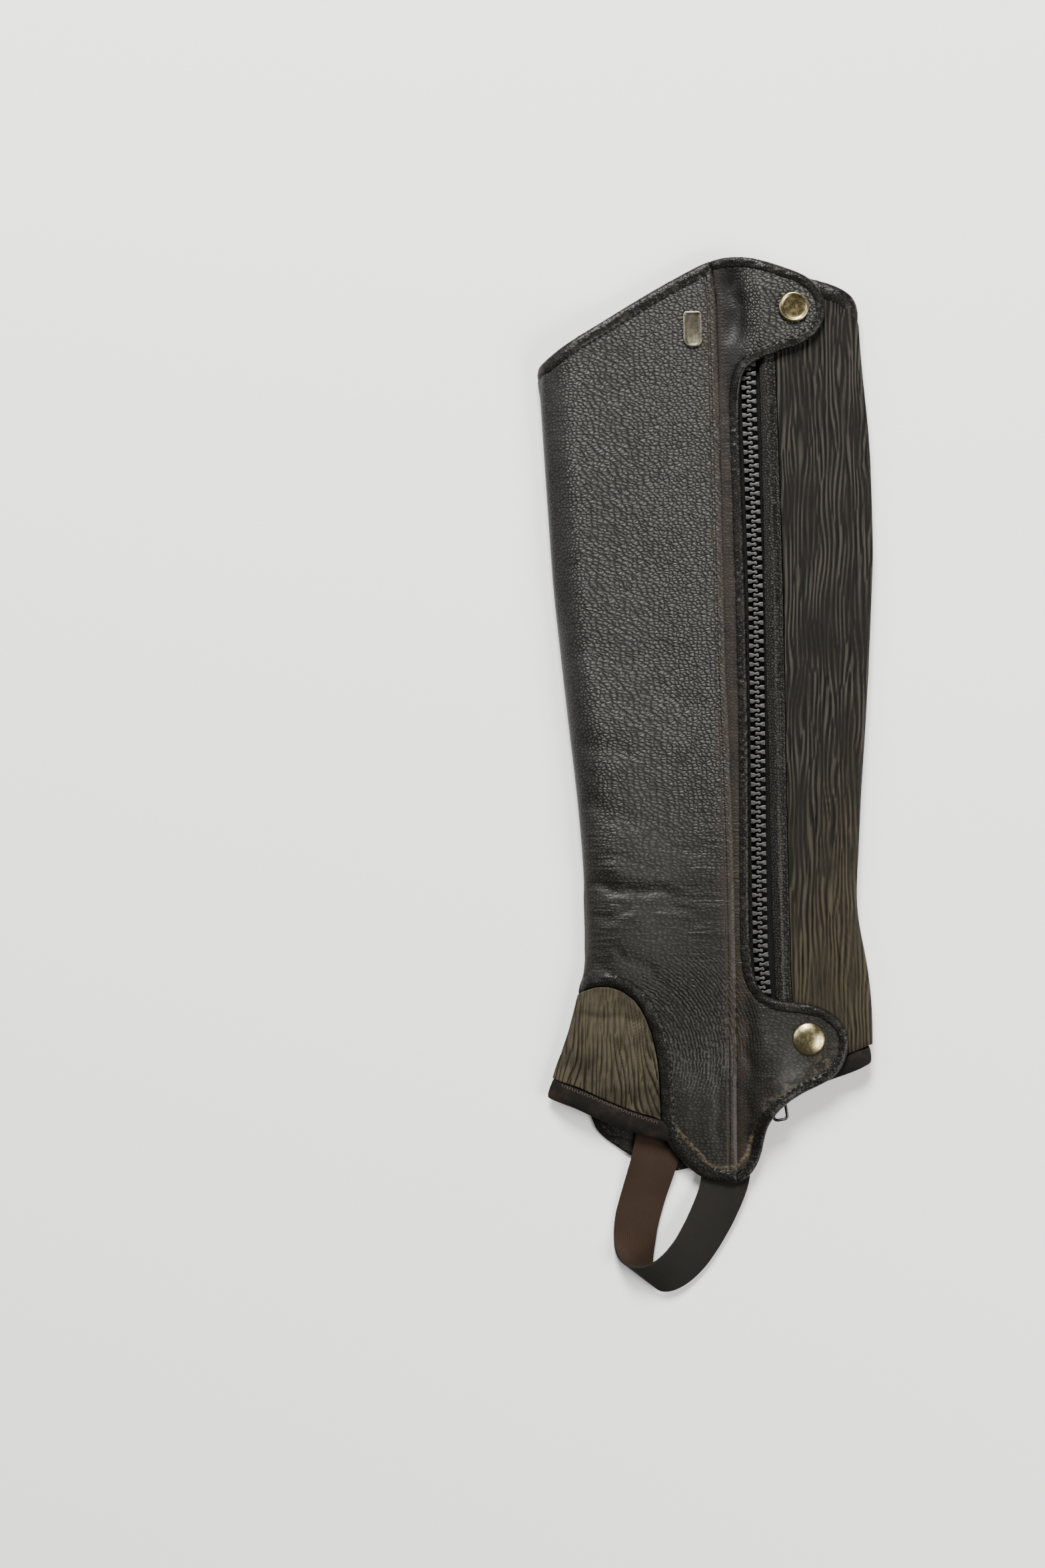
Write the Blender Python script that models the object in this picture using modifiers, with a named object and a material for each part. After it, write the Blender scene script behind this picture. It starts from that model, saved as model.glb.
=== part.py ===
"""One leather half chap, zipped and snapped shut and laid flat with its outer side up.

Millimetres in the tables, metres in the model. The surface it lies on is z = 0, +Y points to the knee,
-X to the shin and +X to the calf. The near side is the one that faces up.

Every cloth piece is cut on one flattened tube. A place on that tube is (u, y): on the near side u is x,
and past a fold u runs on round the fold and along the far side, so one outline can wrap round the leg.
"""
import math

import bmesh
import bpy
import numpy as np
from mathutils import Matrix, Vector
from mathutils.geometry import delaunay_2d_cdt

MM = 0.001

# Walls and seams
LEATHER_WALL = 1.8
STRETCH_WALL = 1.5
SEAM_GAP = 0.3
FOLD_GAP = 0.5
RIB_HEIGHT = 0.7
CALF_RIBS = 19
RIBBED_SHARE = 0.59
GUSSET_RIBS = 30

# The flattened tube
MID_HEIGHT = 10.0
FRONT_ROLL_DEPTH = 13.0
FRONT_ROLL_LENGTH = 34.0
BACK_ROLL_DEPTH = 7.0
BACK_ROLL_LENGTH = 20.0
BACK_ROLL_HEIGHT = 11.0
TONGUE_DROP = 3.4
TONGUE_DROP_START = -160.0

# Bindings and hems
BIND_TOP = 6.2
BIND_TOP_BACK = 8.0
BIND_TAB = 5.0
BIND_ARCH = 6.6
HEM_GUSSET = 9.6
HEM_BACK = 8.6

# Zip. The chain ends a little short of the slider, and both tapes run on under the top tab.
CHAIN_WIDTH = 7.4
TAPE_WIDTH = 12.0
TAPE_THICKNESS = 0.8
ZIP_TOP = 207.0
ZIP_END = -152.0
TAPE_TOP_FRONT = 236.0
TAPE_TOP_BACK = 234.0
SLIDER_Y = -136.0
CHAIN_TO_SLIDER = 7.0

# Slider and pull, in the slider's own frame: the pull's wire turns in a hole through the lug
SLIDER_SIZE = (8.2, 12.6, 3.6)
LUG_SIZE = (3.4, 5.6, 3.4)
LUG_MIDDLE_Z = 3.0
HINGE = (0.0, -3.6, 3.1)
LUG_HOLE_RADIUS = 1.2
PULL_WAY = (4.4, -27.0, 0.0)
PULL_WIDTH = 8.0
PULL_LENGTH = 28.5
PULL_WIRE = 1.5
PULL_CORNER = 1.6
PULL_DROP = 1.2

# Snaps, plate and strap
SNAP_TOP_AT = (42.7, 228.0)
SNAP_BOTTOM_AT = (50.1, -128.2)
SNAP_TOP_RADIUS = 7.5
SNAP_BOTTOM_RADIUS = 8.0
PLATE_AT = (-6.3, 217.7)
PLATE_SIZE = (9.1, 17.3, 1.1)
PLATE_CORNER = 2.2
TAB_LIFT = 4.6
SLIDER_HUMP = 3.6
STRAP_THICKNESS = 1.5

# Fold lines in plan: y, x
FRONT_FOLD = [
    (260, -83.2), (198, -82.4), (183, -81.1), (144, -78.5), (92, -74.9), (40, -69.1), (-12, -62.9),
    (-41, -60.3), (-77, -58.7), (-91, -59.0), (-103, -61.3), (-116, -64.5), (-129, -67.8),
    (-142, -72.6), (-157, -77.8), (-205, -78.0)]
BACK_FOLD = [
    (260, 73.5), (228, 74.9), (209, 75.6), (190, 77.5), (164, 80.4), (131, 81.7), (105, 82.1),
    (66, 80.4), (21, 78.2), (-12, 75.9), (-44, 74.9), (-54, 72.6), (-59, 74.6), (-67, 72.6),
    (-78, 76.9), (-94, 79.5), (-110, 81.7), (-139, 82.1), (-205, 82.0)]

# Height of the roll at the front fold: y, height
FRONT_ROLL_HEIGHT = [(-157, 11.0), (-110, 13.0), (-77, 14.5), (0, 16.5), (150, 17.0), (260, 15.5)]

# Seam between the main panel and the outer strip, and the middle of the zip: y, x
NEAR_SEAM = [(-200, 15.8), (-158, 15.4), (-93, 14.8), (-41, 13.8), (21, 11.5), (53, 9.9), (134, 8.0),
             (232, 5.4), (253, 2.4)]
ZIP_LINE = [(-152, 33.2), (-130, 31.0), (-106, 28.3), (-83, 26.7), (-35, 25.9), (25, 25.4),
            (90, 24.4), (118, 23.6), (180, 21.3), (243, 20.0)]
FACING_LEFT = [(-155, 39.2), (-106, 33.8), (-25, 31.7), (90, 28.8), (183, 26.8), (203, 25.8), (245, 24.6)]
FACING_RIGHT = [(-155, 46.4), (-106, 41.8), (-25, 39.8), (90, 37.9), (183, 34.9), (203, 33.6), (245, 32.4)]
FAR_SEAM = [(-160, 39.5), (218, 36.5)]

# Cut edges: side, x, y. The side is near, far by way of the front fold, or back by way of the back fold.
TOP_EDGE = [
    ("near", 2.2, 251.1), ("near", -4.7, 248.1), ("near", -28.1, 235.1), ("near", -48.6, 222.1),
    ("near", -69.1, 209.1), ("near", -79.0, 201.6), ("far", -82.3, 198.4), ("far", -74.3, 199.6),
    ("far", -51.5, 202.6), ("far", -19.0, 206.5), ("far", 13.5, 211.7), ("far", 36.4, 216.2)]
TOP_EDGE_BACK = [
    ("near", 25.0, 246.0), ("near", 36.6, 245.5), ("near", 48.6, 242.9), ("near", 59.0, 240.3),
    ("near", 67.1, 237.1), ("near", 72.6, 233.2), ("back", 74.8, 228.8), ("back", 68.7, 224.1),
    ("back", 46.0, 218.2), ("back", 36.7, 216.2)]
TAB_EDGE = [
    ("near", 2.5, 251.2), ("near", 9.6, 252.7), ("near", 16.7, 252.7), ("near", 26.5, 251.1),
    ("near", 36.6, 248.1), ("near", 47.0, 244.2), ("near", 53.8, 239.7), ("near", 57.4, 233.2),
    ("near", 58.7, 227.0), ("near", 57.4, 220.7), ("near", 53.8, 214.8), ("near", 46.3, 210.1),
    ("near", 34.9, 206.2), ("near", 25.8, 202.6), ("near", 19.6, 198.4), ("near", 16.7, 191.0),
    ("near", 16.6, 176.0), ("near", 17.4, 150.6), ("near", 19.4, 90.5), ("near", 21.0, 25.0),
    ("near", 21.4, -35.0), ("near", 21.9, -83.0), ("near", 23.2, -97.0), ("near", 26.8, -104.8),
    ("near", 31.4, -108.4), ("near", 38.8, -110.0), ("near", 49.9, -111.3), ("near", 57.4, -113.3),
    ("near", 64.2, -117.5), ("near", 68.7, -123.3), ("near", 70.0, -129.8), ("near", 68.7, -137.6),
    ("near", 64.8, -144.6), ("near", 59.0, -149.2), ("near", 52.2, -152.2), ("near", 45.7, -155.5),
    ("near", 38.8, -160.1), ("near", 33.6, -164.9), ("near", 30.7, -169.6), ("near", 29.1, -175.7),
    ("near", 27.8, -183.8), ("near", 25.5, -190.6), ("near", 21.6, -196.1), ("near", 16.0, -199.1)]
ARCH_EDGE = [
    ("near", 15.6, -199.3), ("near", 8.3, -199.1), ("near", -1.5, -196.5), ("near", -12.2, -187.7),
    ("near", -18.7, -178.6), ("near", -21.0, -171.8), ("near", -21.6, -157.1), ("near", -22.6, -142.2),
    ("near", -24.2, -132.8), ("near", -26.5, -124.0), ("near", -29.6, -116.5), ("near", -34.0, -109.6),
    ("near", -39.8, -105.1), ("near", -45.7, -102.8), ("near", -51.5, -102.2), ("near", -57.5, -104.0),
    ("far", -62.0, -108.6), ("far", -59.5, -117.0), ("far", -57.0, -130.0), ("far", -56.9, -148.0),
    ("far", -56.1, -165.6), ("far", -53.1, -173.7), ("far", -45.7, -179.9), ("far", -36.2, -186.1),
    ("far", -27.1, -191.3), ("far", -19.0, -193.7), ("far", -9.3, -192.9), ("far", 0.5, -188.0),
    ("far", 8.6, -179.8), ("far", 16.7, -171.6), ("far", 28.0, -163.4), ("far", 39.3, -158.4)]
GUSSET_HEM_EDGE = [
    ("near", -21.8, -177.8), ("near", -36.9, -173.7), ("near", -48.6, -169.2), ("near", -57.4, -165.3),
    ("near", -67.1, -161.0), ("far", -77.6, -157.2), ("far", -70.0, -159.0), ("far", -57.0, -163.0)]
BACK_HEM_EDGE = [
    ("near", 40.0, -157.6), ("near", 45.0, -155.6), ("near", 53.1, -151.9), ("near", 60.9, -148.4),
    ("near", 68.7, -145.8), ("near", 77.0, -142.6), ("back", 82.0, -139.6), ("back", 73.0, -143.5),
    ("back", 57.0, -150.5), ("back", 39.8, -158.4)]

# Hand-placed creases and swells of the near side: from x, y, to x, y, depth (a swell is negative), width
CREASES = [
    (-62, -50, -12, -57, 1.4, 4.0),
    (-58, -42, -8, -47, -0.8, 5.0),
    (-70, 74, -4, 46, 0.8, 13.0),
    (-64, -4, 2, -24, 0.9, 11.0),
    (-36, -96, -4, -128, 0.7, 5.0),
    (-2, -118, 4, -184, -0.6, 7.0),
    (-58, 150, -40, 90, 0.6, 9.0),
    (48, -58, 72, -61, 1.0, 4.0),
    (50, -100, 74, -108, 0.7, 6.0)]

# The strap from under the near tongue round to the far one: inner edge x, y, z, outer edge x, y, z
STRAP_EDGES = [
    (-1.0, -178.0, 5.2, 23.0, -178.0, 5.2),
    (-1.5, -191.0, 3.9, 22.6, -190.6, 3.9),
    (-1.8, -198.7, 3.5, 21.9, -199.0, 3.4),
    (-4.7, -206.9, 4.7, 18.7, -208.2, 3.0),
    (-9.3, -217.0, 7.2, 13.5, -219.6, 2.4),
    (-14.5, -226.4, 9.6, 7.0, -230.9, 2.0),
    (-19.7, -232.9, 11.2, 0.2, -240.7, 1.7),
    (-25.5, -237.8, 12.0, -7.6, -248.1, 2.1),
    (-32.7, -240.0, 11.6, -15.1, -252.2, 2.9),
    (-39.2, -238.8, 9.8, -20.8, -252.7, 3.1),
    (-43.1, -234.8, 6.0, -24.0, -250.9, 2.2),
    (-44.4, -229.6, 2.3, -25.2, -246.0, 1.1),
    (-44.6, -222.0, 0.9, -25.4, -236.0, 0.9),
    (-43.6, -214.0, 0.9, -23.0, -221.0, 0.9),
    (-41.4, -206.0, 0.9, -19.3, -207.6, 1.1),
    (-38.4, -195.6, 1.8, -15.4, -196.4, 2.7),
    (-35.8, -186.4, 3.0, -12.4, -187.4, 3.1),
    (-33.4, -174.0, 3.0, -10.2, -176.5, 3.0)]

# Across the zip chain: share of its width, lift
CHAIN_SECTION = [(0.0, -0.4), (0.12, 0.5), (0.88, 0.5), (1.0, -0.4)]

# Across a binding, from the cut edge to its sewn side: share of the width, outer lift, inner lift
BINDING_SECTION = [(0.0, -0.4, -1.5), (0.22, 0.75, -1.8), (0.72, 0.85, -1.8), (1.0, 0.1, -1.8)]

# Press stud caps, from the top of the axis round to the bottom: radius, height
DISHED_CAP = [(0.0, 1.1), (4.6, 1.1), (5.6, 1.5), (6.6, 1.6), (7.3, 1.2), (SNAP_TOP_RADIUS, 0.6), (7.2, 0.0),
              (0.0, 0.0)]
DOMED_CAP = [(0.0, 2.7), (3.0, 2.5), (5.4, 1.9), (7.1, 1.0), (SNAP_BOTTOM_RADIUS, 0.4), (7.7, 0.0),
             (0.0, 0.0)]

COLOURS = {
    "leather": ((0.034, 0.033, 0.030), 0.50, 0.0),
    "binding": ((0.022, 0.021, 0.020), 0.45, 0.0),
    "stretch": ((0.050, 0.044, 0.033), 0.75, 0.0),
    "gusset": ((0.120, 0.098, 0.062), 0.85, 0.0),
    "hem": ((0.030, 0.025, 0.021), 0.80, 0.0),
    "tape": ((0.012, 0.012, 0.013), 0.90, 0.0),
    "chain": ((0.045, 0.046, 0.050), 0.45, 0.0),
    "dark_metal": ((0.080, 0.078, 0.074), 0.40, 1.0),
    "brass": ((0.330, 0.265, 0.140), 0.32, 1.0),
    "plate": ((0.300, 0.275, 0.210), 0.38, 1.0),
    "elastic": ((0.030, 0.027, 0.024), 0.90, 0.0)}


# Reading the tables

def read(table, y, window=4.0):
    """A table's value at y, averaged over a short window so that its corners are round."""
    rows = sorted(table)
    keys = [row[0] for row in rows]
    values = [row[1] for row in rows]
    around = [y + window * share for share in (-1.0, -0.5, 0.0, 0.5, 1.0)]
    return float(np.mean(np.interp(around, keys, values)))


def smooth(t):
    """0 below 0, 1 above 1, and an S between them."""
    t = min(max(t, 0.0), 1.0)
    return t * t * (3.0 - 2.0 * t)


def bell(t):
    return math.exp(-t * t)


# The flattened tube

def front_crest(y):
    return read(FRONT_FOLD, y) + FRONT_ROLL_DEPTH


def back_crest(y):
    return read(BACK_FOLD, y) - BACK_ROLL_DEPTH


def crease_depth(x, y):
    """How far the creases and swells pull the near side down at a place."""
    total = 0.0
    for x0, y0, x1, y1, depth, width in CREASES:
        length = math.hypot(x1 - x0, y1 - y0)
        along = ((x - x0) * (x1 - x0) + (y - y0) * (y1 - y0)) / length
        across = ((x - x0) * (y1 - y0) - (y - y0) * (x1 - x0)) / length
        ends = smooth((along + 8.0) / 14.0) * smooth((length + 8.0 - along) / 14.0)
        total += depth * bell(across / width) * ends
    return total


def near_height(x, y):
    """Height of the near side's outer face above the surface."""
    height = MID_HEIGHT - crease_depth(x, y)
    front_share = 1.0 - smooth((x - front_crest(y)) / 42.0)
    back_share = 1.0 - smooth((back_crest(y) - x) / 22.0)
    height += (read(FRONT_ROLL_HEIGHT, y) - MID_HEIGHT) * front_share
    height += (BACK_ROLL_HEIGHT - MID_HEIGHT) * back_share
    return height - TONGUE_DROP * smooth((TONGUE_DROP_START - y) / 40.0)


def tube_point(u, y):
    """Outer face of the tube: near side, a half ellipse at each fold, and the flat far side."""
    front, back = front_crest(y), back_crest(y)
    for crest, way, depth, length in ((front, -1, FRONT_ROLL_DEPTH, FRONT_ROLL_LENGTH),
                                      (back, 1, BACK_ROLL_DEPTH, BACK_ROLL_LENGTH)):
        past = way * (u - crest)
        if past <= 0.0:
            continue
        if past >= length:
            return Vector((crest - way * (past - length), y, 0.0))
        angle = math.pi * past / length
        half = near_height(crest, y) / 2.0
        return Vector((crest + way * depth * math.sin(angle), y, half * (1.0 + math.cos(angle))))
    return Vector((u, y, near_height(u, y)))


def tube_normal(u, y):
    step = 0.4
    along = tube_point(u + step, y) - tube_point(u - step, y)
    up = tube_point(u, y + step) - tube_point(u, y - step)
    return along.cross(up).normalized()


def lay(u, y, lift):
    """A point off the tube's outer face. What rises from it fades out on the side that lies down."""
    normal = tube_normal(u, y)
    if lift > 0.0:
        lift *= 0.5 + 0.5 * normal.z
    return (tube_point(u, y) + normal * lift) * MM


def to_u(side, x, y):
    """The tube's u for a place in plan."""
    if side == "near":
        front, back = front_crest(y), back_crest(y)
        if x < front:
            turn = math.asin(min(1.0, (front - x) / FRONT_ROLL_DEPTH)) / math.pi
            return front - turn * FRONT_ROLL_LENGTH
        if x > back:
            turn = math.asin(min(1.0, (x - back) / BACK_ROLL_DEPTH)) / math.pi
            return back + turn * BACK_ROLL_LENGTH
        return x
    way, crest, depth, length = -1, front_crest(y), FRONT_ROLL_DEPTH, FRONT_ROLL_LENGTH
    if side == "back":
        way, crest, depth, length = 1, back_crest(y), BACK_ROLL_DEPTH, BACK_ROLL_LENGTH
    beyond = way * (x - crest)
    if beyond > 0.0:
        turn = 1.0 - math.asin(min(1.0, beyond / depth)) / math.pi
        return crest + way * turn * length
    return crest + way * (length - beyond)


# Lines on the tube

def spline(points, step):
    """A smooth line through points, with a point about every step along it."""
    points = [Vector(p) for p in points]
    ends = [2 * points[0] - points[1]] + points + [2 * points[-1] - points[-2]]
    fine = []
    for a, b, c, d in zip(ends, ends[1:], ends[2:], ends[3:]):
        for k in range(8):
            t = k / 8.0
            fine.append(0.5 * (2 * b + (c - a) * t + (2 * a - 5 * b + 4 * c - d) * t * t
                               + (3 * b - a - 3 * c + d) * t ** 3))
    fine.append(points[-1])
    reach = [0.0]
    for a, b in zip(fine, fine[1:]):
        reach.append(reach[-1] + (b - a).length)
    count = max(2, round(reach[-1] / step))
    marks = np.linspace(0.0, reach[-1], count + 1)
    columns = [np.interp(marks, reach, [p[axis] for p in fine]) for axis in range(len(points[0]))]
    return [Vector(values) for values in zip(*columns)]


def edge_line(table, step=6.5):
    return spline([(to_u(side, x, y), y) for side, x, y in table], step)


def beside(line, distance):
    """The line moved sideways on the tube, to the right of its own direction."""
    moved = []
    for i, point in enumerate(line):
        heading = (line[min(i + 1, len(line) - 1)] - line[max(i - 1, 0)]).normalized()
        moved.append(point + Vector((heading.y, -heading.x)) * distance)
    return moved


def at_share(line, share):
    """The point at a share of a line's length."""
    reach = [0.0]
    for a, b in zip(line, line[1:]):
        reach.append(reach[-1] + (b - a).length)
    target = share * reach[-1]
    return Vector([float(np.interp(target, reach, [p[axis] for p in line])) for axis in range(2)])


def height_at(line, u):
    """The y of a line at u, for a line that runs one way in u."""
    pairs = sorted((p.x, p.y) for p in line)
    return float(np.interp(u, [p[0] for p in pairs], [p[1] for p in pairs]))


# Making meshes

def material(name):
    found = bpy.data.materials.get(name)
    if found:
        return found
    colour, roughness, metallic = COLOURS[name]
    made = bpy.data.materials.new(name)
    made.use_nodes = True
    shader = made.node_tree.nodes["Principled BSDF"]
    shader.inputs["Base Color"].default_value = (*colour, 1.0)
    shader.inputs["Roughness"].default_value = roughness
    shader.inputs["Metallic"].default_value = metallic
    return made


def add_object(name, bm, finish, collection="half_chap"):
    """Turn a bmesh into a named object with its material."""
    bmesh.ops.recalc_face_normals(bm, faces=bm.faces)
    mesh = bpy.data.meshes.new(name)
    bm.to_mesh(mesh)
    bm.free()
    mesh.materials.append(material(finish))
    mesh.shade_smooth()
    mesh.set_sharp_from_angle(angle=math.radians(40))
    made = bpy.data.objects.new(name, mesh)
    bpy.data.collections[collection].objects.link(made)
    return made


def wall(name, rows, finish):
    """A closed wall from rows of (outer point, inner point) pairs, one pair for each column."""
    bm = bmesh.new()
    outer = [[bm.verts.new(pair[0]) for pair in row] for row in rows]
    inner = [[bm.verts.new(pair[1]) for pair in row] for row in rows]
    last_row, last_column = len(rows) - 1, len(rows[0]) - 1
    for r in range(last_row):
        for c in range(last_column):
            for sheet in (outer, inner):
                bm.faces.new((sheet[r][c], sheet[r][c + 1], sheet[r + 1][c + 1], sheet[r + 1][c]))
        for c in (0, last_column):
            bm.faces.new((outer[r][c], outer[r + 1][c], inner[r + 1][c], inner[r][c]))
    for c in range(last_column):
        for r in (0, last_row):
            bm.faces.new((outer[r][c], outer[r][c + 1], inner[r][c + 1], inner[r][c]))
    return add_object(name, bm, finish)


def cut_piece(name, outline, columns, row_step, finish, lift=lambda u, y: 0.0):
    """A leather wall cut to an outline on the tube, with columns of points inside for its curves."""
    corners = np.array([tuple(p) for p in outline])
    tails = np.roll(corners, -1, axis=0) - corners
    inside = []
    for y in np.arange(corners[:, 1].min() + row_step / 2, corners[:, 1].max(), row_step):
        for u in columns(y):
            offset = np.array((u, y)) - corners
            share = np.clip((offset * tails).sum(1) / (tails ** 2).sum(1), 0, 1)
            if np.hypot(*(offset - share[:, None] * tails).T).min() > row_step * 0.38:
                inside.append(Vector((u, y)))
    ring = list(range(len(outline)))
    edges = list(zip(ring, ring[1:] + ring[:1]))
    points, _, faces, *_ = delaunay_2d_cdt([Vector(p) for p in outline] + inside, edges, [ring], 1, 1e-5)
    bm = bmesh.new()
    raised = [lift(p.x, p.y) for p in points]
    outer = [bm.verts.new(lay(p.x, p.y, rise)) for p, rise in zip(points, raised)]
    inner = [bm.verts.new(lay(p.x, p.y, rise - LEATHER_WALL)) for p, rise in zip(points, raised)]
    for face in faces:
        bm.faces.new([outer[i] for i in face])
        bm.faces.new([inner[i] for i in face[::-1]])
    below = dict(zip(outer, inner))
    for rim in [e for e in bm.edges if e.is_boundary and e.verts[0] in below]:
        a, b = rim.verts
        bm.faces.new((a, b, below[b], below[a]))
    for vert in [v for v in bm.verts if not v.link_faces]:
        bm.verts.remove(vert)
    return add_object(name, bm, finish)


def binding(name, line, width, finish, hold, lift=lambda u, y: 0.0):
    """A folded strip along a cut edge, thicker than the panel it holds."""
    rows = []
    for point, sewn in zip(line, beside(line, width)):
        row = []
        for share, outer, inner in BINDING_SECTION:
            place = hold(point.lerp(sewn, share))
            raised = lift(place.x, place.y)
            row.append((lay_at(place, outer + raised), lay_at(place, inner + raised)))
        rows.append(row)
    return wall(name, rows, finish)


def lay_at(place, lift):
    return lay(place.x, place.y, lift)


def tab_lift(x, y):
    """How far the outer strip stands off the near side: flat along the zip, and over it at both tabs."""
    top = smooth((y - 176.0) / 16.0)
    low = smooth((-76.0 - y) / 16.0) * (1.0 - smooth((-165.0 - y) / 20.0))
    rise = TAB_LIFT * smooth((x - read(NEAR_SEAM, y) - 1.0) / 12.0)
    valley = 1.7 * bell((x - 15.0) / 5.0) * smooth((y - 206.0) / 10.0)
    dip = 0.9 * bell((x - 17.5) / 3.5) * smooth((-100.0 - y) / 12.0)
    swell = 0.7 * bell((x - 27.0) / 4.0) * smooth((y - 204.0) / 10.0)
    slider_hump = SLIDER_HUMP * bell((x - 33.5) / 9.0) * bell((y + 147.0) / 24.0)
    droop_top = smooth((x - 49.0) / 10.0)
    droop_low = smooth((x - 58.0) / 11.0)
    return top * (rise - valley + swell - droop_top) + low * (rise - dip + slider_hump - droop_low)


def grid_between(bottom, top, columns, rows):
    """Places from one line to another, with straight columns."""
    grid = []
    for r in range(rows + 1):
        row = []
        for c in range(columns + 1):
            low, high = at_share(bottom, c / columns), at_share(top, c / columns)
            row.append(low.lerp(high, r / rows))
        grid.append(row)
    return grid


def grid_in_band(left, right, bottom, top, shares, rows):
    """Places in a band between two sides, from a bottom line to a top line, with a column at each share."""
    grid = []
    for r in range(rows + 1):
        row = []
        for share in shares:
            y = bottom(left(0.0)) + (top(left(0.0)) - bottom(left(0.0))) * r / rows
            for _ in range(3):
                u = left(y) + (right(y) - left(y)) * share
                low, high = bottom(u), top(u)
                y = low + (high - low) * r / rows
            row.append(Vector((u, y)))
        grid.append(row)
    return grid


def rib(column, row, edge):
    """Rise of a wavy rib: every second column is a crest, some low, some high, all low at an edge."""
    if column % 2 == 0:
        return 0.0
    wave = 0.75 + 0.25 * math.sin(1.7 * column + 0.9 * row) * math.cos(0.6 * column - 0.5 * row)
    return RIB_HEIGHT * wave * (0.4 if edge else 1.0)


def ribbed_panel(name, grid, finish, ribbed_columns):
    """A stretch panel, ribbed outside and plain inside. Its ribs sway a little from side to side."""
    rows = []
    for r, line in enumerate(grid):
        row = []
        for c, place in enumerate(line):
            edge = c in (0, ribbed_columns) or r in (0, len(grid) - 1)
            rise = rib(c, r, edge) if c <= ribbed_columns else 0.0
            sway = 0.3 * math.sin(0.8 * r + 0.35 * c) if rise and not edge else 0.0
            row.append((lay(place.x + sway, place.y, rise), lay(place.x, place.y, -STRETCH_WALL)))
        rows.append(row)
    return wall(name, rows, finish)


def plain_band(name, grid, outer, inner, finish):
    rows = [[(lay(p.x, p.y, outer), lay(p.x, p.y, inner)) for p in line] for line in grid]
    return wall(name, rows, finish)


# Leather

def main_side(place):
    """Keep a place on the main panel's side of both long seams."""
    near = read(NEAR_SEAM, place.y) - SEAM_GAP / 2.0
    far = to_u("far", read(FAR_SEAM, place.y) - SEAM_GAP / 2.0, place.y)
    return Vector((min(max(place.x, far), near), place.y))


def strip_side(place):
    return Vector((max(place.x, read(NEAR_SEAM, place.y) + SEAM_GAP / 2.0), place.y))


def calf_side(place):
    far = to_u("back", read(FAR_SEAM, place.y) + SEAM_GAP / 2.0, place.y)
    return Vector((min(place.x, far), place.y))


def leather_columns(y):
    """Columns of the main panel: even on the near side, close at the fold and wide on the far side."""
    crest = front_crest(y)
    near = np.linspace(crest, read(NEAR_SEAM, y), 9)[1:]
    fold = [crest - FRONT_ROLL_LENGTH * k / 6.0 for k in range(7)]
    far = [fold[-1] - 26.0 * k for k in (1, 2, 3, 4)]
    return [*near, *fold, *far]


def side_line(far_off, hold, bottom_y, top_y, step):
    """Points up a long seam, found by holding back a place that lies far past it."""
    count = max(2, round((top_y - bottom_y) / step))
    return [hold(Vector((far_off, y))) for y in np.linspace(bottom_y, top_y, count + 1)]


def make_leather_panel():
    top = [main_side(p) for p in beside(edge_line(TOP_EDGE), -(BIND_TOP + SEAM_GAP))]
    arch = [main_side(p) for p in beside(edge_line(ARCH_EDGE), BIND_ARCH + SEAM_GAP)]
    near_limit = side_line(100.0, main_side, arch[0].y + 3.0, top[0].y - 3.0, 11.0)
    far_limit = side_line(-400.0, main_side, arch[-1].y + 4.0, top[-1].y - 4.0, 22.0)
    outline = top + far_limit[::-1] + arch[::-1] + near_limit
    cut_piece("leather_panel", outline, leather_columns, 12.0, "leather")
    binding("top_binding", edge_line(TOP_EDGE), -BIND_TOP, "binding", main_side)
    binding("arch_binding", edge_line(ARCH_EDGE), BIND_ARCH, "binding", main_side)


def make_tab_strip():
    edge = edge_line(TAB_EDGE, 5.5)
    sewn = [strip_side(p) for p in beside(edge, BIND_TAB + SEAM_GAP)]
    seam = side_line(-100.0, strip_side, sewn[-1].y + 3.0, sewn[0].y - 3.0, 8.0)
    outline = [*sewn, *seam][::-1]
    cut_piece("tab_strip", outline, lambda y: read(NEAR_SEAM, y) + np.arange(5.0, 60.0, 5.5), 5.5,
              "leather", tab_lift)
    binding("tab_binding", edge, BIND_TAB, "binding", strip_side, tab_lift)


# Stretch panels, facing and hems

def make_back():
    top_edge = edge_line(TOP_EDGE_BACK)
    hem_edge = edge_line(BACK_HEM_EDGE)
    binding("top_binding_back", top_edge, BIND_TOP_BACK, "binding", calf_side)
    binding("back_hem", hem_edge, -HEM_BACK, "hem", calf_side)
    top_line = beside(top_edge, BIND_TOP_BACK + FOLD_GAP)
    hem_line = beside(hem_edge, -(HEM_BACK + FOLD_GAP))
    bottom, top = (lambda u: height_at(hem_line, u)), (lambda u: height_at(top_line, u))
    facing = grid_in_band(lambda y: read(FACING_LEFT, y), lambda y: read(FACING_RIGHT, y), bottom, top,
                          np.linspace(0.0, 1.0, 4), 26)
    plain_band("zip_facing", facing, 0.0, -LEATHER_WALL, "leather")
    shares = [*np.linspace(0.0, RIBBED_SHARE, 2 * CALF_RIBS + 1), *np.linspace(RIBBED_SHARE, 1.0, 6)[1:]]
    panel = grid_in_band(lambda y: read(FACING_RIGHT, y) + SEAM_GAP,
                         lambda y: calf_side(Vector((400.0, y))).x, bottom, top, shares, 24)
    ribbed_panel("back_stretch_panel", panel, "stretch", 2 * CALF_RIBS)


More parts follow.
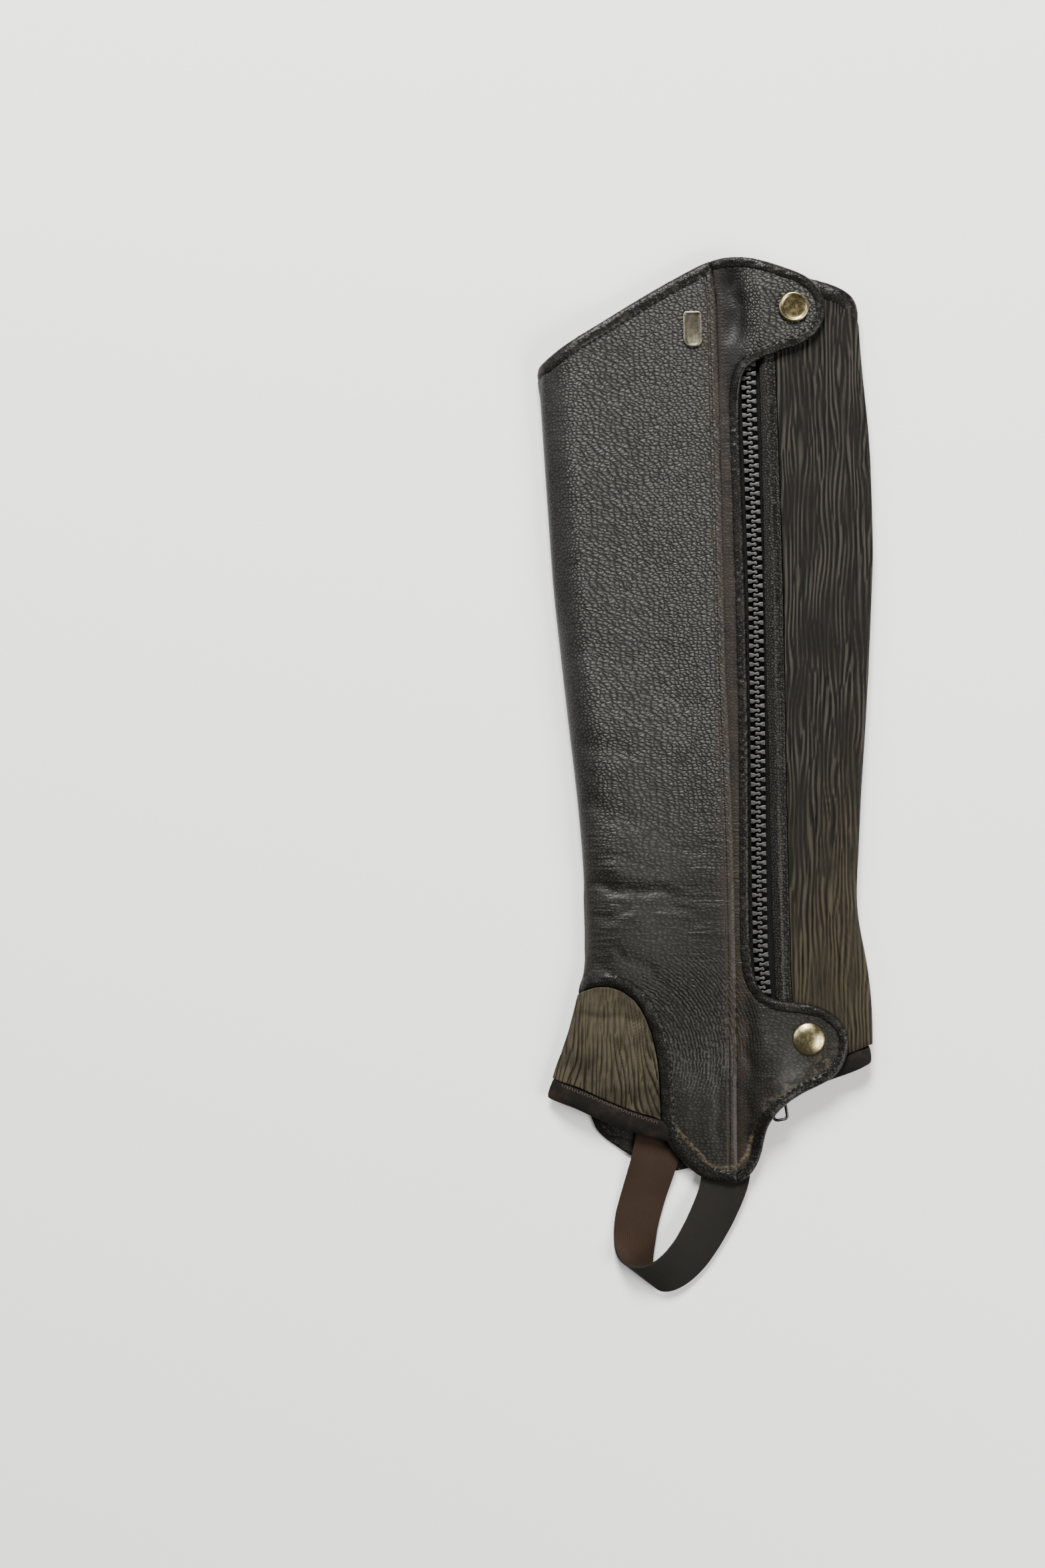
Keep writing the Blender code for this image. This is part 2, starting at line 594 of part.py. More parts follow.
def make_gusset():
    hem_edge = edge_line(GUSSET_HEM_EDGE)
    arch = beside(edge_line(ARCH_EDGE), -FOLD_GAP)
    hem_line = beside(hem_edge, HEM_GUSSET + FOLD_GAP)
    near_end, far_end = -152.0, -142.0
    past_fold = [i for i, p in enumerate(arch) if p.x < front_crest(p.y) - FRONT_ROLL_LENGTH / 2.0]
    start = min(range(past_fold[0]), key=lambda i: abs(arch[i].y - near_end))
    stop = min(past_fold, key=lambda i: abs(arch[i].y - far_end))
    peak = max(range(len(arch)), key=lambda i: arch[i].y)
    near_leg = sorted((p.y, p.x) for p in arch[:peak])
    far_leg = sorted((p.y, p.x) for p in arch[peak:] if p.x > to_u("far", -50.0, p.y))

    def inside_arch(place):
        """Keep a place between the arch's near and far legs."""
        near, far = (np.interp(place.y, *zip(*leg)) for leg in (near_leg, far_leg))
        return Vector((min(max(place.x, far), near), place.y))

    binding("gusset_hem", hem_edge, HEM_GUSSET, "hem", inside_arch)
    hem_line = [inside_arch(p) for p in hem_line]
    grid = grid_between(hem_line, arch[start:stop + 1], 2 * GUSSET_RIBS, 6)
    ribbed_panel("instep_gusset", grid, "gusset", 2 * GUSSET_RIBS)


# Zip

def zip_band(first, last, low, high, step):
    """Places in a band beside the zip's middle line."""
    count = round((high - low) / step)
    ys = np.linspace(low, high, count + 1)
    return [[Vector((read(ZIP_LINE, y) + across, y)) for across in (first, last)] for y in ys]


def make_zip():
    half_gap = SEAM_GAP / 2.0
    tape_face = -(LEATHER_WALL + SEAM_GAP)
    tape_back = tape_face - TAPE_THICKNESS
    plain_band("zip_tape_front", zip_band(-TAPE_WIDTH, -half_gap, ZIP_END, TAPE_TOP_FRONT, 16.0),
               tape_face, tape_back, "tape")
    plain_band("zip_tape_back", zip_band(half_gap, TAPE_WIDTH, ZIP_END, TAPE_TOP_BACK, 16.0),
               tape_face, tape_back, "tape")
    half = CHAIN_WIDTH / 2.0
    rows = []
    for left, right in zip_band(-half, half, SLIDER_Y + CHAIN_TO_SLIDER, ZIP_TOP, 12.0):
        edges = [(left.lerp(right, share), lift) for share, lift in CHAIN_SECTION]
        rows.append([(lay_at(p, lift), lay_at(p, -LEATHER_WALL)) for p, lift in edges])
    wall("zip_chain", rows, "chain")


def frame_at(x, y, off, down=(0.0, -1.0, 0.0), lift=lambda u, y: 0.0, reach=5.0):
    """A frame a little off a sheet that stands lift off the tube: Z out of it, -Y along the plan's down."""
    def on_sheet(u, v):
        return lay(u, v, lift(u, v))
    z_axis = (on_sheet(x + reach, y) - on_sheet(x - reach, y)).cross(
        on_sheet(x, y + reach) - on_sheet(x, y - reach)).normalized()
    y_axis = -(Vector(down) - z_axis * Vector(down).dot(z_axis)).normalized()
    x_axis = y_axis.cross(z_axis)
    frame = Matrix((x_axis, y_axis, z_axis)).transposed().to_4x4()
    frame.translation = on_sheet(x, y) + z_axis * off * MM
    return frame


def box(name, size, centre, finish, collection="half_chap"):
    bm = bmesh.new()
    bmesh.ops.create_cube(bm, size=1.0)
    bmesh.ops.scale(bm, vec=Vector(size) * MM, verts=bm.verts)
    bmesh.ops.translate(bm, vec=Vector(centre) * MM, verts=bm.verts)
    return add_object(name, bm, finish, collection)


def bevel(target, width, segments, limit=40):
    rounding = target.modifiers.new("Bevel", "BEVEL")
    rounding.width = width * MM
    rounding.segments = segments
    rounding.limit_method = "ANGLE"
    rounding.angle_limit = math.radians(limit)


def combine(target, other, operation):
    joined = target.modifiers.new(operation.title(), "BOOLEAN")
    joined.operation = operation
    joined.object = other
    joined.solver = "EXACT"
    other.hide_render = True
    other.display_type = "WIRE"


def make_slider():
    """Slider body, with a lug on top whose hole carries the pull's upper bar."""
    slider_frame = frame_at(read(ZIP_LINE, SLIDER_Y), SLIDER_Y, 0.0, down=PULL_WAY)
    slider = box("zip_slider", SLIDER_SIZE, (0.0, 0.0, 0.0), "dark_metal")
    bevel(slider, 1.0, 2)
    lug = box("lug", LUG_SIZE, (0.0, HINGE[1], LUG_MIDDLE_Z), "dark_metal", "cutters")
    combine(slider, lug, "UNION")
    bpy.ops.mesh.primitive_cylinder_add(vertices=16, radius=LUG_HOLE_RADIUS * MM,
                                        depth=2.0 * LUG_SIZE[0] * MM, rotation=(0.0, math.pi / 2, 0.0),
                                        location=Vector(HINGE) * MM)
    hole = bpy.context.active_object
    hole.name = "lug_hole"
    for owner in hole.users_collection:
        owner.objects.unlink(hole)
    bpy.data.collections["cutters"].objects.link(hole)
    combine(slider, hole, "DIFFERENCE")
    for piece in (slider, lug, hole):
        piece.matrix_world = slider_frame @ piece.matrix_basis
    make_pull(slider_frame)


def make_pull(slider_frame):
    """A closed wire loop. It hangs in the lug and lies down towards its free end."""
    half, radius = (PULL_WIDTH - PULL_WIRE) / 2.0, PULL_CORNER
    centres = [(half - radius, -radius), (half - radius, -(PULL_LENGTH - radius)),
               (-(half - radius), -(PULL_LENGTH - radius)), (-(half - radius), -radius)]
    curve = bpy.data.curves.new("zip_pull", "CURVE")
    curve.dimensions = "3D"
    curve.bevel_depth = PULL_WIRE / 2.0 * MM
    curve.bevel_resolution = 2
    path = []
    for corner, (x, y) in enumerate(centres):
        for k in range(4):
            angle = math.pi / 2 - (corner + k / 3.0) * math.pi / 2
            path.append((x + radius * math.cos(angle), y + radius * math.sin(angle)))
    wire = curve.splines.new("POLY")
    wire.points.add(len(path) - 1)
    for point, (x, y) in zip(wire.points, path):
        point.co = (x * MM, y * MM, 0.0, 1.0)
    wire.use_cyclic_u = True
    curve.materials.append(material("dark_metal"))
    pull = bpy.data.objects.new("zip_pull", curve)
    bpy.data.collections["half_chap"].objects.link(pull)
    rest = math.asin(PULL_DROP / PULL_LENGTH)
    pull.matrix_world = slider_frame @ Matrix.Translation(Vector(HINGE) * MM) @ Matrix.Rotation(rest, 4, "X")


# Hardware

def turned(name, profile, place, finish, steps=28):
    """A turned piece: profile is radius and height, from the top of its axis round to the bottom."""
    bm = bmesh.new()
    verts = [bm.verts.new((radius * MM, 0.0, height * MM)) for radius, height in profile]
    for a, b in zip(verts, verts[1:]):
        bm.edges.new((a, b))
    mesh = bpy.data.meshes.new(name)
    bm.to_mesh(mesh)
    bm.free()
    mesh.materials.append(material(finish))
    made = bpy.data.objects.new(name, mesh)
    bpy.data.collections["half_chap"].objects.link(made)
    turn = made.modifiers.new("Turn", "SCREW")
    turn.axis = "Z"
    turn.steps = steps
    turn.render_steps = steps
    turn.use_merge_vertices = True
    turn.merge_threshold = 0.00001
    turn.use_normal_calculate = True
    made.matrix_world = place
    return made


def make_snaps():
    """A cap on each tab, dished at the top and domed at the bottom, and the stud under the tab."""
    for name, profile, (x, y) in (("top", DISHED_CAP, SNAP_TOP_AT), ("bottom", DOMED_CAP, SNAP_BOTTOM_AT)):
        turned("snap_cap_" + name, profile, frame_at(x, y, 0.5, lift=tab_lift), "brass")
        low, high = RIB_HEIGHT + 0.15, tab_lift(x, y) - LEATHER_WALL - 0.5
        stud = [(0.0, high - low), (4.6, high - low), (5.0, (high - low) / 2), (4.6, 0.0), (0.0, 0.0)]
        turned("snap_stud_" + name, stud, frame_at(x, y, low), "dark_metal", 20)


def make_plate():
    """A small metal plate with round corners, pinned to the leather."""
    x, y = PLATE_AT
    bm = bmesh.new()
    bmesh.ops.create_cube(bm, size=1.0)
    bmesh.ops.scale(bm, vec=Vector(PLATE_SIZE) * MM, verts=bm.verts)
    upright = [e for e in bm.edges if abs(e.verts[0].co.z - e.verts[1].co.z) > 0.5 * MM]
    bmesh.ops.bevel(bm, geom=upright, offset=PLATE_CORNER * MM, segments=4, profile=0.5, affect="EDGES")
    plate = add_object("badge_plate", bm, "plate")
    bevel(plate, 0.25, 1, 60)
    plate.matrix_world = frame_at(x, y, PLATE_SIZE[2] / 2.0 + SEAM_GAP, down=(0.02, -1.0, 0.0))


def make_strap():
    """The elastic: from the near tongue down, turned over on itself at the left and up to the far tongue."""
    table = spline(STRAP_EDGES, 6.0)
    rows = []
    for i, row in enumerate(table):
        before, after = table[max(i - 1, 0)], table[min(i + 1, len(table) - 1)]
        inner, outer = Vector(row[:3]), Vector(row[3:])
        way = Vector(after[:3]) + Vector(after[3:]) - Vector(before[:3]) - Vector(before[3:])
        face = way.cross(outer - inner).normalized() * (STRAP_THICKNESS / 2.0)
        places = [inner.lerp(outer, share) for share in (0.0, 0.5, 1.0)]
        rows.append([((p + face) * MM, (p - face) * MM) for p in places])
    wall("stirrup_elastic", rows, "elastic")


def main():
    for old in list(bpy.data.objects):
        bpy.data.objects.remove(old)
    for name in ("half_chap", "cutters"):
        bpy.context.scene.collection.children.link(bpy.data.collections.new(name))
    make_leather_panel()
    make_tab_strip()
    make_back()
    make_gusset()
    make_zip()
    make_slider()
    make_snaps()
    make_plate()
    make_strap()


main()
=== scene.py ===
"""The looks of one leather half chap, zipped and snapped shut and laid flat with its outer side up.

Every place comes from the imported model: +Y points to the knee, -X to the shin and +X to the calf, and the
table is z = 0. The near side is the one that faces up. Sizes in the tables are millimetres.
"""
import math
from contextlib import contextmanager

import bmesh
import bpy
import numpy as np
from mathutils import Matrix, Vector, noise
from mathutils.bvhtree import BVHTree


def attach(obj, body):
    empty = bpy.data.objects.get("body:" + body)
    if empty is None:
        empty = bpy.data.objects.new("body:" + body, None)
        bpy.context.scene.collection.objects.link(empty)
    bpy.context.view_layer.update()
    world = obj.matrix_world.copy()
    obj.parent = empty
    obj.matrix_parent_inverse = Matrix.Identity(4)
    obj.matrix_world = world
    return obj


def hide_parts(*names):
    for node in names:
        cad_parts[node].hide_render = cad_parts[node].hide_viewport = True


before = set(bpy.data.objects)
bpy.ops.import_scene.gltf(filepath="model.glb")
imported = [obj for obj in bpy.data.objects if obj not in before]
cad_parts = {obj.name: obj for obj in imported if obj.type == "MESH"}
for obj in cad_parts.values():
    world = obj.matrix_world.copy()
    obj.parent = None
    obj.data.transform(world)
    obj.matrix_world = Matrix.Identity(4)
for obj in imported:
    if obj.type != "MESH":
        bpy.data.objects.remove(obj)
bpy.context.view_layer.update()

MM = 0.001


# Table, light and camera. The half chap lies on a white table under a soft light beyond its top edge,
# with weaker ones from both sides, and is seen from straight above. The photograph shows a pair side by
# side, and its whole frame is kept, so the half chap stands right of the middle.

FRAME_HEIGHT = 764.7 * MM
FRAME_MIDDLE = (-89.2 * MM, -4.1 * MM)
IN_FOCUS = 10.0 * MM
TABLE_WIDTH = 8.0
BELOW_PART = 0.2 * MM
LENS, FILM_HEIGHT = 90.0, 36.0

bpy.ops.object.camera_add(
    location=(*FRAME_MIDDLE, IN_FOCUS + FRAME_HEIGHT * LENS / FILM_HEIGHT), rotation=(0.0, 0.0, 0.0))
camera = bpy.context.object
camera.data.lens = LENS
camera.data.sensor_width = FILM_HEIGHT
bpy.context.scene.camera = camera


def area_light(name, place, size, power, colour):
    """A square soft light at a place, turned to the half chap's middle."""
    turn = (-Vector(place)).to_track_quat("-Z", "Y").to_euler()
    bpy.ops.object.light_add(type="AREA", location=place, rotation=turn)
    light = bpy.context.object
    light.name = name
    light.data.size = size
    light.data.energy = power
    light.data.color = colour


area_light("overhead_light", (-0.25, 1.75, 1.55), 0.9, 150.0, (1.0, 0.985, 0.96))
area_light("window_light", (-1.50, 0.60, 1.25), 0.7, 14.0, (0.97, 0.985, 1.0))
area_light("room_light", (1.50, -0.60, 1.40), 1.2, 62.0, (1.0, 0.985, 0.96))

world = bpy.data.worlds.new("white_room")
world.use_nodes = True
bpy.context.scene.world = world


def connect(node, inputs):
    """Set a node's inputs, each to a number, a colour, a vector or another node's output."""
    for key, value in inputs.items():
        if isinstance(value, bpy.types.NodeSocket):
            node.id_data.links.new(value, node.inputs[key])
        else:
            node.inputs[key].default_value = value


connect(world.node_tree.nodes["Background"], {"Color": (1.0, 0.99, 0.97, 1.0), "Strength": 0.12})

table_paint = bpy.data.materials.new("table_paint")
table_paint.use_nodes = True
connect(table_paint.node_tree.nodes["Principled BSDF"],
        {"Base Color": (0.88, 0.88, 0.875, 1.0), "Roughness": 0.75})
bpy.ops.mesh.primitive_plane_add(size=TABLE_WIDTH, location=(0.0, 0.0, -BELOW_PART))
table = bpy.context.object
table.name = "table"
table.data.materials.append(table_paint)


# Main panel. One piece of soft pebble-grained cowhide, 1.8 mm thick, runs from the seam beside the zip
# round the shin to the seam at the back of the leg, with a tongue under the foot at each end. Wear has
# put a deep break above the ankle, soft waves up the shin and fine rings of wrinkles above the arch.

LEATHER_WALL = 1.8

# Points above this height are on the near side, and the rest count as far off its lines
NEAR_ABOVE = 5.0
FAR_OFF = 40.0

# How the near side eases down to the front fold, and how a seam is drawn in
FOLD_DROP, FOLD_REACH = 2.4, 17.0
SEAM_PINCH, SEAM_DIP = 0.35, 0.7

# The near seam to the outer strip: y, x
NEAR_SEAM = [(-200, 15.8), (-158, 15.4), (-93, 14.8), (-41, 13.8), (21, 11.5), (53, 9.9), (134, 8.0),
             (232, 5.4), (253, 2.4)]

# The front fold, where the near side turns down to the table: y, x
FRONT_FOLD = [(-165, -79.0), (-157, -77.5), (-115, -69.0), (-92, -61.0), (-50, -59.0), (-16, -61.5),
              (53, -71.7), (120, -77.0), (200, -81.0)]

# Creases: from x, y, to x, y, depth, width. A negative depth is a swell.
NEAR_CREASES = [
    (-62, -53, -10, -59, 1.5, 2.6), (-56, -46, -14, -51, -0.9, 3.6), (-48, -62, -6, -66, 0.7, 2.2),
    (-60, -70, -34, -66, 0.6, 2.4), (-50, -40, -22, -43, 0.4, 2.4), (-30, -74, 2, -71, 0.35, 2.0),
    (-74, 20, -30, 8, 0.9, 5.0), (-60, 30, -6, 12, -0.6, 7.0), (-68, 64, -28, 50, 0.8, 6.5),
    (-34, 44, 4, 30, 0.6, 5.5), (-72, 106, -38, 92, 0.6, 7.0), (-44, 128, -6, 118, -0.5, 9.0),
    (-62, -14, -20, -26, 0.8, 5.5), (-30, -30, 6, -38, 0.5, 4.5), (-74, 168, -50, 120, -0.6, 6.0),
    (-62, 128, -58, 20, -0.9, 5.0), (-60, 4, -54, -44, -0.7, 4.5), (-72, 186, -70, 20, 0.8, 4.5),
    (-70, 10, -66, -70, 0.6, 4.0), (-48, -82, -30, -94, 0.5, 2.4), (-38, -86, -16, -106, 0.45, 2.4),
    (-20, -96, -8, -122, 0.4, 2.2), (-52, -90, -44, -98, 0.3, 1.8), (-6, -120, 4, -150, -0.45, 4.0),
    (4, -132, 8, -186, 0.5, 2.6), (-14, -136, -8, -176, -0.4, 4.0), (-4, 206, -2, 236, -0.4, 5.0),
    (-60, 178, -20, 196, 0.35, 6.0), (26, -118, 30, -142, -0.7, 3.0), (20, -112, 22, -150, 0.8, 2.6),
    (34, -150, 56, -140, 0.5, 3.0), (15, 210, 14, 248, 1.9, 4.4), (27, 208, 27, 244, -1.5, 4.4),
    (30, 205, 48, 213, 0.4, 2.6), (36, 214, 38, 236, 0.4, 2.6), (18, -150, 24, -188, 0.4, 2.4),
    (-66, -115, -28, -121, 0.8, 2.0), (-60, -124, -34, -127, -0.4, 3.0),
    (-40, -128, -34, -160, 0.5, 2.2), (29, -160, 37, -172, -0.6, 3.6)]
FAR_CREASES = [
    (-56, -60, -2, -66, 1.2, 4.0), (-50, 20, 10, 4, 0.7, 8.0), (-30, 90, 26, 70, 0.6, 9.0),
    (-40, 150, -10, 120, 0.7, 7.0), (0, -110, 20, -140, 0.8, 5.0), (-44, -20, -8, -34, 0.6, 5.0)]


def only(piece):
    """Select one piece alone, and make it the one that operators act on."""
    bpy.ops.object.select_all(action="DESELECT")
    piece.select_set(True)
    bpy.context.view_layer.objects.active = piece


def edit_all(piece, *steps):
    """Run operators on the whole of a piece's mesh."""
    only(piece)
    bpy.ops.object.mode_set(mode="EDIT")
    bpy.ops.mesh.select_all(action="SELECT")
    for step in steps:
        step()
    bpy.ops.object.mode_set(mode="OBJECT")


def modify(piece, kind, **settings):
    """Add a modifier to a piece and apply it."""
    only(piece)
    made = piece.modifiers.new("Made", kind)
    for name, value in settings.items():
        setattr(made, name, value)
    bpy.ops.object.modifier_apply(modifier="Made")


@contextmanager
def mesh_of(piece):
    """A piece's mesh, open to be changed, and written back at the end."""
    bm = bmesh.new()
    bm.from_mesh(piece.data)
    yield bm
    bm.to_mesh(piece.data)
    bm.free()


def new_object(name, mesh):
    made = bpy.data.objects.new(name, mesh)
    bpy.context.scene.collection.objects.link(made)
    return made


def cover(piece, *materials):
    """Give a piece its materials, in place of any that it has."""
    piece.data.materials.clear()
    for material in materials:
        piece.data.materials.append(material)


def stand_for(piece, node, slot, *materials):
    """Let a piece of the chap stand for a CAD node."""
    cover(piece, *materials)
    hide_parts(node)
    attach(piece, "chap")


def copy_of(node, name, slot, material):
    """A new piece from a CAD node's mesh, merged and turned to quads, that stands for the node."""
    piece = new_object(name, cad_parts[node].data.copy())
    only(piece)
    bpy.ops.mesh.customdata_custom_splitnormals_clear()
    edit_all(piece, lambda: bpy.ops.mesh.remove_doubles(threshold=0.02 * MM),
             lambda: bpy.ops.mesh.tris_convert_to_quads(face_threshold=math.radians(60),
                                                        shape_threshold=math.radians(60)))
    stand_for(piece, node, slot, material)
    return piece


def is_sharp(edge, angle=50.0):
    return len(edge.link_faces) == 2 and edge.calc_face_angle() > math.radians(angle)


def is_rim(face, thickest, thinnest=1.3):
    """Whether a face is part of the cut edge of a wall, and not of its outer or inner side."""
    through = any(thinnest < edge.calc_length() / MM < thickest for edge in face.edges)
    return through and abs(face.normal.z) < 0.6 and any(map(is_sharp, face.edges))


def ramp(values, low, high):
    """0 below low, 1 above high, and an S between them."""
    share = np.clip((values - low) / (high - low), 0.0, 1.0)
    return share * share * (3.0 - 2.0 * share)


def reach_under(piece, distance, stays, thickest=LEATHER_WALL + 0.2):
    """Run a panel's cut edge on under the binding sewn over it, less at the folds, but not where it stays."""
    with mesh_of(piece) as bm:
        rim = [f for f in bm.faces if is_rim(f, thickest) and not stays(f)]
        steps = {}
        for vert in {v for face in rim for v in face.verts}:
            outward = sum((f.normal for f in vert.link_faces if f in rim), Vector()).normalized()
            flat = max([abs(f.normal.z) for f in vert.link_faces if not is_rim(f, thickest)], default=0.0)
            steps[tuple(vert.co)] = outward * distance * MM * float(ramp(flat, 0.6, 0.98))
        grown = bmesh.ops.extrude_face_region(bm, geom=rim)["geom"]
        for vert in [g for g in grown if isinstance(g, bmesh.types.BMVert)]:
            vert.co += steps[tuple(vert.co)]
        bmesh.ops.delete(bm, geom=rim, context="FACES_ONLY")


def round_off(piece, levels, crease=0.8):
    """Subdivide a piece smoothly, with its sharp rims kept in place."""
    with mesh_of(piece) as bm:
        layer = bm.edges.layers.float.get("crease_edge") or bm.edges.layers.float.new("crease_edge")
        for edge in filter(is_sharp, bm.edges):
            edge[layer] = crease
    modify(piece, "SUBSURF", levels=levels)
    bpy.ops.object.shade_smooth()


def read_rows(items, name):
    flat = np.empty(len(items) * 3)
    items.foreach_get(name, flat)
    return flat.reshape(-1, 3)


def points_of(piece):
    """A piece's points in millimetres, one row each."""
    return read_rows(piece.data.vertices, "co") / MM


def normals_of(piece):
    return read_rows(piece.data.vertex_normals, "vector")


def set_points(piece, points):
    piece.data.vertices.foreach_set("co", (points * MM).ravel())
    piece.data.update()


def ripple(points, lengths, seed=0.0):
    """Smooth noise from -1 to 1, with its own wavelength along each axis."""
    return np.array([noise.noise(Vector((x / lengths[0] + seed, y / lengths[1], z / lengths[2])))
                     for x, y, z in points])


def creased(points, creases):
    """How deep each point lies in the listed creases, which wander a little and fade at both ends."""
    depth_of = np.zeros(len(points))
    for x0, y0, x1, y1, depth, width in creases:
        length = math.hypot(x1 - x0, y1 - y0)
        along = ((points[:, 0] - x0) * (x1 - x0) + (points[:, 1] - y0) * (y1 - y0)) / length
        across = ((points[:, 0] - x0) * (y1 - y0) - (points[:, 1] - y0) * (x1 - x0)) / length
        across += 1.1 * np.sin(along * 0.17 + x0) + 0.5 * np.sin(along * 0.43 + y0)
        ends = ramp(np.minimum(along, length - along), -0.12 * length, 0.3 * length)
        depth_of += depth * np.exp(-(across / width) ** 2) * ends
    return depth_of


def read(table, y):
    """A table's x at some y."""
    rows = np.array(sorted(table))
    return np.interp(y, rows[:, 0], rows[:, 1])


def right_of(points, table):
    """How far near-side points lie to the right of a line."""
    return np.where(points[:, 2] > NEAR_ABOVE, points[:, 0] - read(table, points[:, 1]), FAR_OFF)


def wear_in(piece, uneven=0.18):
    """Crease a piece along the listed creases, make it uneven, ease it down to the fold and draw it into the
    seam.
    """
    points = points_of(piece)
    near, far = ramp(points[:, 2], 4.5, 8.5), 1.0 - ramp(points[:, 2], 1.8, 4.0)
    lumps = uneven * (ripple(points, (14, 11, 14)) + 0.5 * ripple(points, (6, 4.5, 6), 9.0))
    points[:, 2] += near * (lumps - creased(points, NEAR_CREASES)) + far * creased(points, FAR_CREASES)
    points[:, 2] -= FOLD_DROP * near * (1.0 - ramp(right_of(points, FRONT_FOLD), 0.0, FOLD_REACH))
    off_seam = right_of(points, NEAR_SEAM)
    drawn_in = np.exp(-off_seam ** 2)
    points[:, 0] -= np.sign(off_seam) * SEAM_PINCH * drawn_in
    points[:, 2] -= SEAM_DIP * near * drawn_in
    set_points(piece, points)


def mark(piece, name, values):
    """Keep a number for each point of a piece, which its material reads."""
    layer = piece.data.attributes.new(name, "FLOAT", "POINT")
    layer.data.foreach_set("value", np.asarray(values, dtype=np.float32))


def from_line(points, line, above=3.0, far_off=60.0):
    """Distance of near-side points from a line in plan, negative on the right of the way that it runs."""
    best = np.full(len(points), far_off)
    for (x0, y0), (x1, y1) in zip(line, line[1:]):
        way = np.array((x1 - x0, y1 - y0))
        offset = points[:, :2] - (x0, y0)
        share = np.clip(offset @ way / (way @ way), 0.0, 1.0)
        gap = np.linalg.norm(offset - share[:, None] * way, axis=1)
        side = np.sign(way[0] * offset[:, 1] - way[1] * offset[:, 0])
        best = np.where(gap < np.abs(best), gap * side, best)
    return np.where(points[:, 2] > above, best, far_off)


def new_group(name, inputs, outputs):
    """An empty node group with its own inputs and outputs, by name and start value or kind."""
    group = bpy.data.node_groups.new(name, "ShaderNodeTree")
    for label, value in inputs.items():
        kind = "NodeSocketVector" if isinstance(value, tuple) else "NodeSocketFloat"
        socket = group.interface.new_socket(label, in_out="INPUT", socket_type=kind)
        socket.default_value = value
    for label in outputs:
        group.interface.new_socket(label, in_out="OUTPUT", socket_type="NodeSocketFloat")
    return group, group.nodes.new("NodeGroupInput").outputs, group.nodes.new("NodeGroupOutput")


def place_node(tree, kind, settings):
    made = tree.nodes.new("ShaderNode" + kind)
    for name, value in settings.items():
        setattr(made, name, value)
    return made


def add(kind, inputs, **settings):
    """Add a shader node beside the nodes that feed it, and give its outputs."""
    fed = [value for value in inputs.values() if isinstance(value, bpy.types.NodeSocket)]
    made = place_node(fed[0].id_data, kind, settings)
    connect(made, inputs)
    return made.outputs


def place_group(group, inputs):
    return add("Group", inputs, node_tree=group)


def level(value, low, high, least=0.0, most=1.0):
    """A value's place between low and high, eased and put between least and most."""
    return add("MapRange", {"Value": value, "From Min": low, "From Max": high, "To Min": least,
                            "To Max": most}, interpolation_type="SMOOTHSTEP")["Result"]


def compute(operation, first, second=0.0):
    return add("Math", {0: first, 1: second}, operation=operation)["Value"]


def times(first, second):
    return compute("MULTIPLY", first, second)


def plus(first, second):
    return compute("ADD", first, second)


def mix(share, under, over):
    """One colour over another, by share. A colour is an output or three numbers."""
    under, over = [c + (1.0,) if isinstance(c, tuple) else c for c in (under, over)]
    return add("Mix", {0: share, 6: under, 7: over}, data_type="RGBA")[2]


def vectors(operation, first, second):
    return add("VectorMath", {0: first, 1: second}, operation=operation)["Vector"]


def axes_of(vector):
    return add("SeparateXYZ", {"Vector": vector})


def spots(where, scale, detail=3.0, roughness=0.55):
    return add("TexNoise", {"Vector": where, "Scale": scale, "Detail": detail, "Roughness": roughness})["Fac"]


def source(shader, kind, output, **settings):
    """An output of a node that needs no input, in the same material as a shader."""
    return place_node(shader.id_data, kind, settings).outputs[output]


def new_material(name, roughness, metallic=0.0, specular=0.5):
    """A material, its shader and the place on the piece, ready for colour and relief."""
    made = bpy.data.materials.new(name)
    made.use_nodes = True
    shader = made.node_tree.nodes["Principled BSDF"]
    connect(shader, {"Roughness": roughness, "Metallic": metallic, "Specular IOR Level": specular})
    return made, shader, source(shader, "TexCoord", "Object")


def read_mark(shader, name):
    """A number that a piece keeps for each of its points."""
    return source(shader, "Attribute", "Fac", attribute_name=name)


def finish_material(shader, colour, relief=None, strength=1.0, depth=0.1, roughness=None):
    """Feed a shader its colour, and its relief and roughness if any. The relief's depth is in mm."""
    connect(shader, {"Base Color": colour})
    if roughness is not None:
        connect(shader, {"Roughness": roughness})
    if relief is not None:
        bump = add("Bump", {"Height": relief, "Strength": strength, "Distance": depth * MM})
        connect(shader, {"Normal": bump["Normal"]})


# Pebble grain: cells between fine furrows, wider than they are tall, each with its own fullness
pebble_grain, given, result = new_group(
    "pebble_grain", {"Place": (0.0, 0.0, 0.0), "Cells": (440.0, 620.0, 0.0), "Furrow": 0.34, "Worn": 0.0},
    ("Height", "Tops"))
warp = add("TexNoise", {"Vector": given["Place"], "Scale": 380.0, "Detail": 2.0})
moved = vectors("ADD", given["Place"], vectors("MULTIPLY", warp["Color"], (MM, MM, MM)))
axes = axes_of(moved)
round_fold = plus(axes["X"], axes["Z"])
unrolled = add("CombineXYZ", {"X": round_fold, "Y": axes["Y"]})["Vector"]
scaled = vectors("MULTIPLY", unrolled, given["Cells"])
spread = {"Vector": scaled, "Scale": 1.0, "Randomness": 0.9}
edges = add("TexVoronoi", spread, feature="DISTANCE_TO_EDGE", voronoi_dimensions="2D")
cells = add("TexVoronoi", spread, feature="F1", voronoi_dimensions="2D")
rise = add("MapRange", {"Value": edges["Distance"], "From Max": given["Furrow"]},
           interpolation_type="SMOOTHSTEP")["Result"]
fullness = add("SeparateColor", {"Color": cells["Color"]})["Red"]
dome = level(cells["Distance"], 0.64, 0.10)
domed = times(rise, level(dome, 0.0, 1.0, 0.6, 1.0))
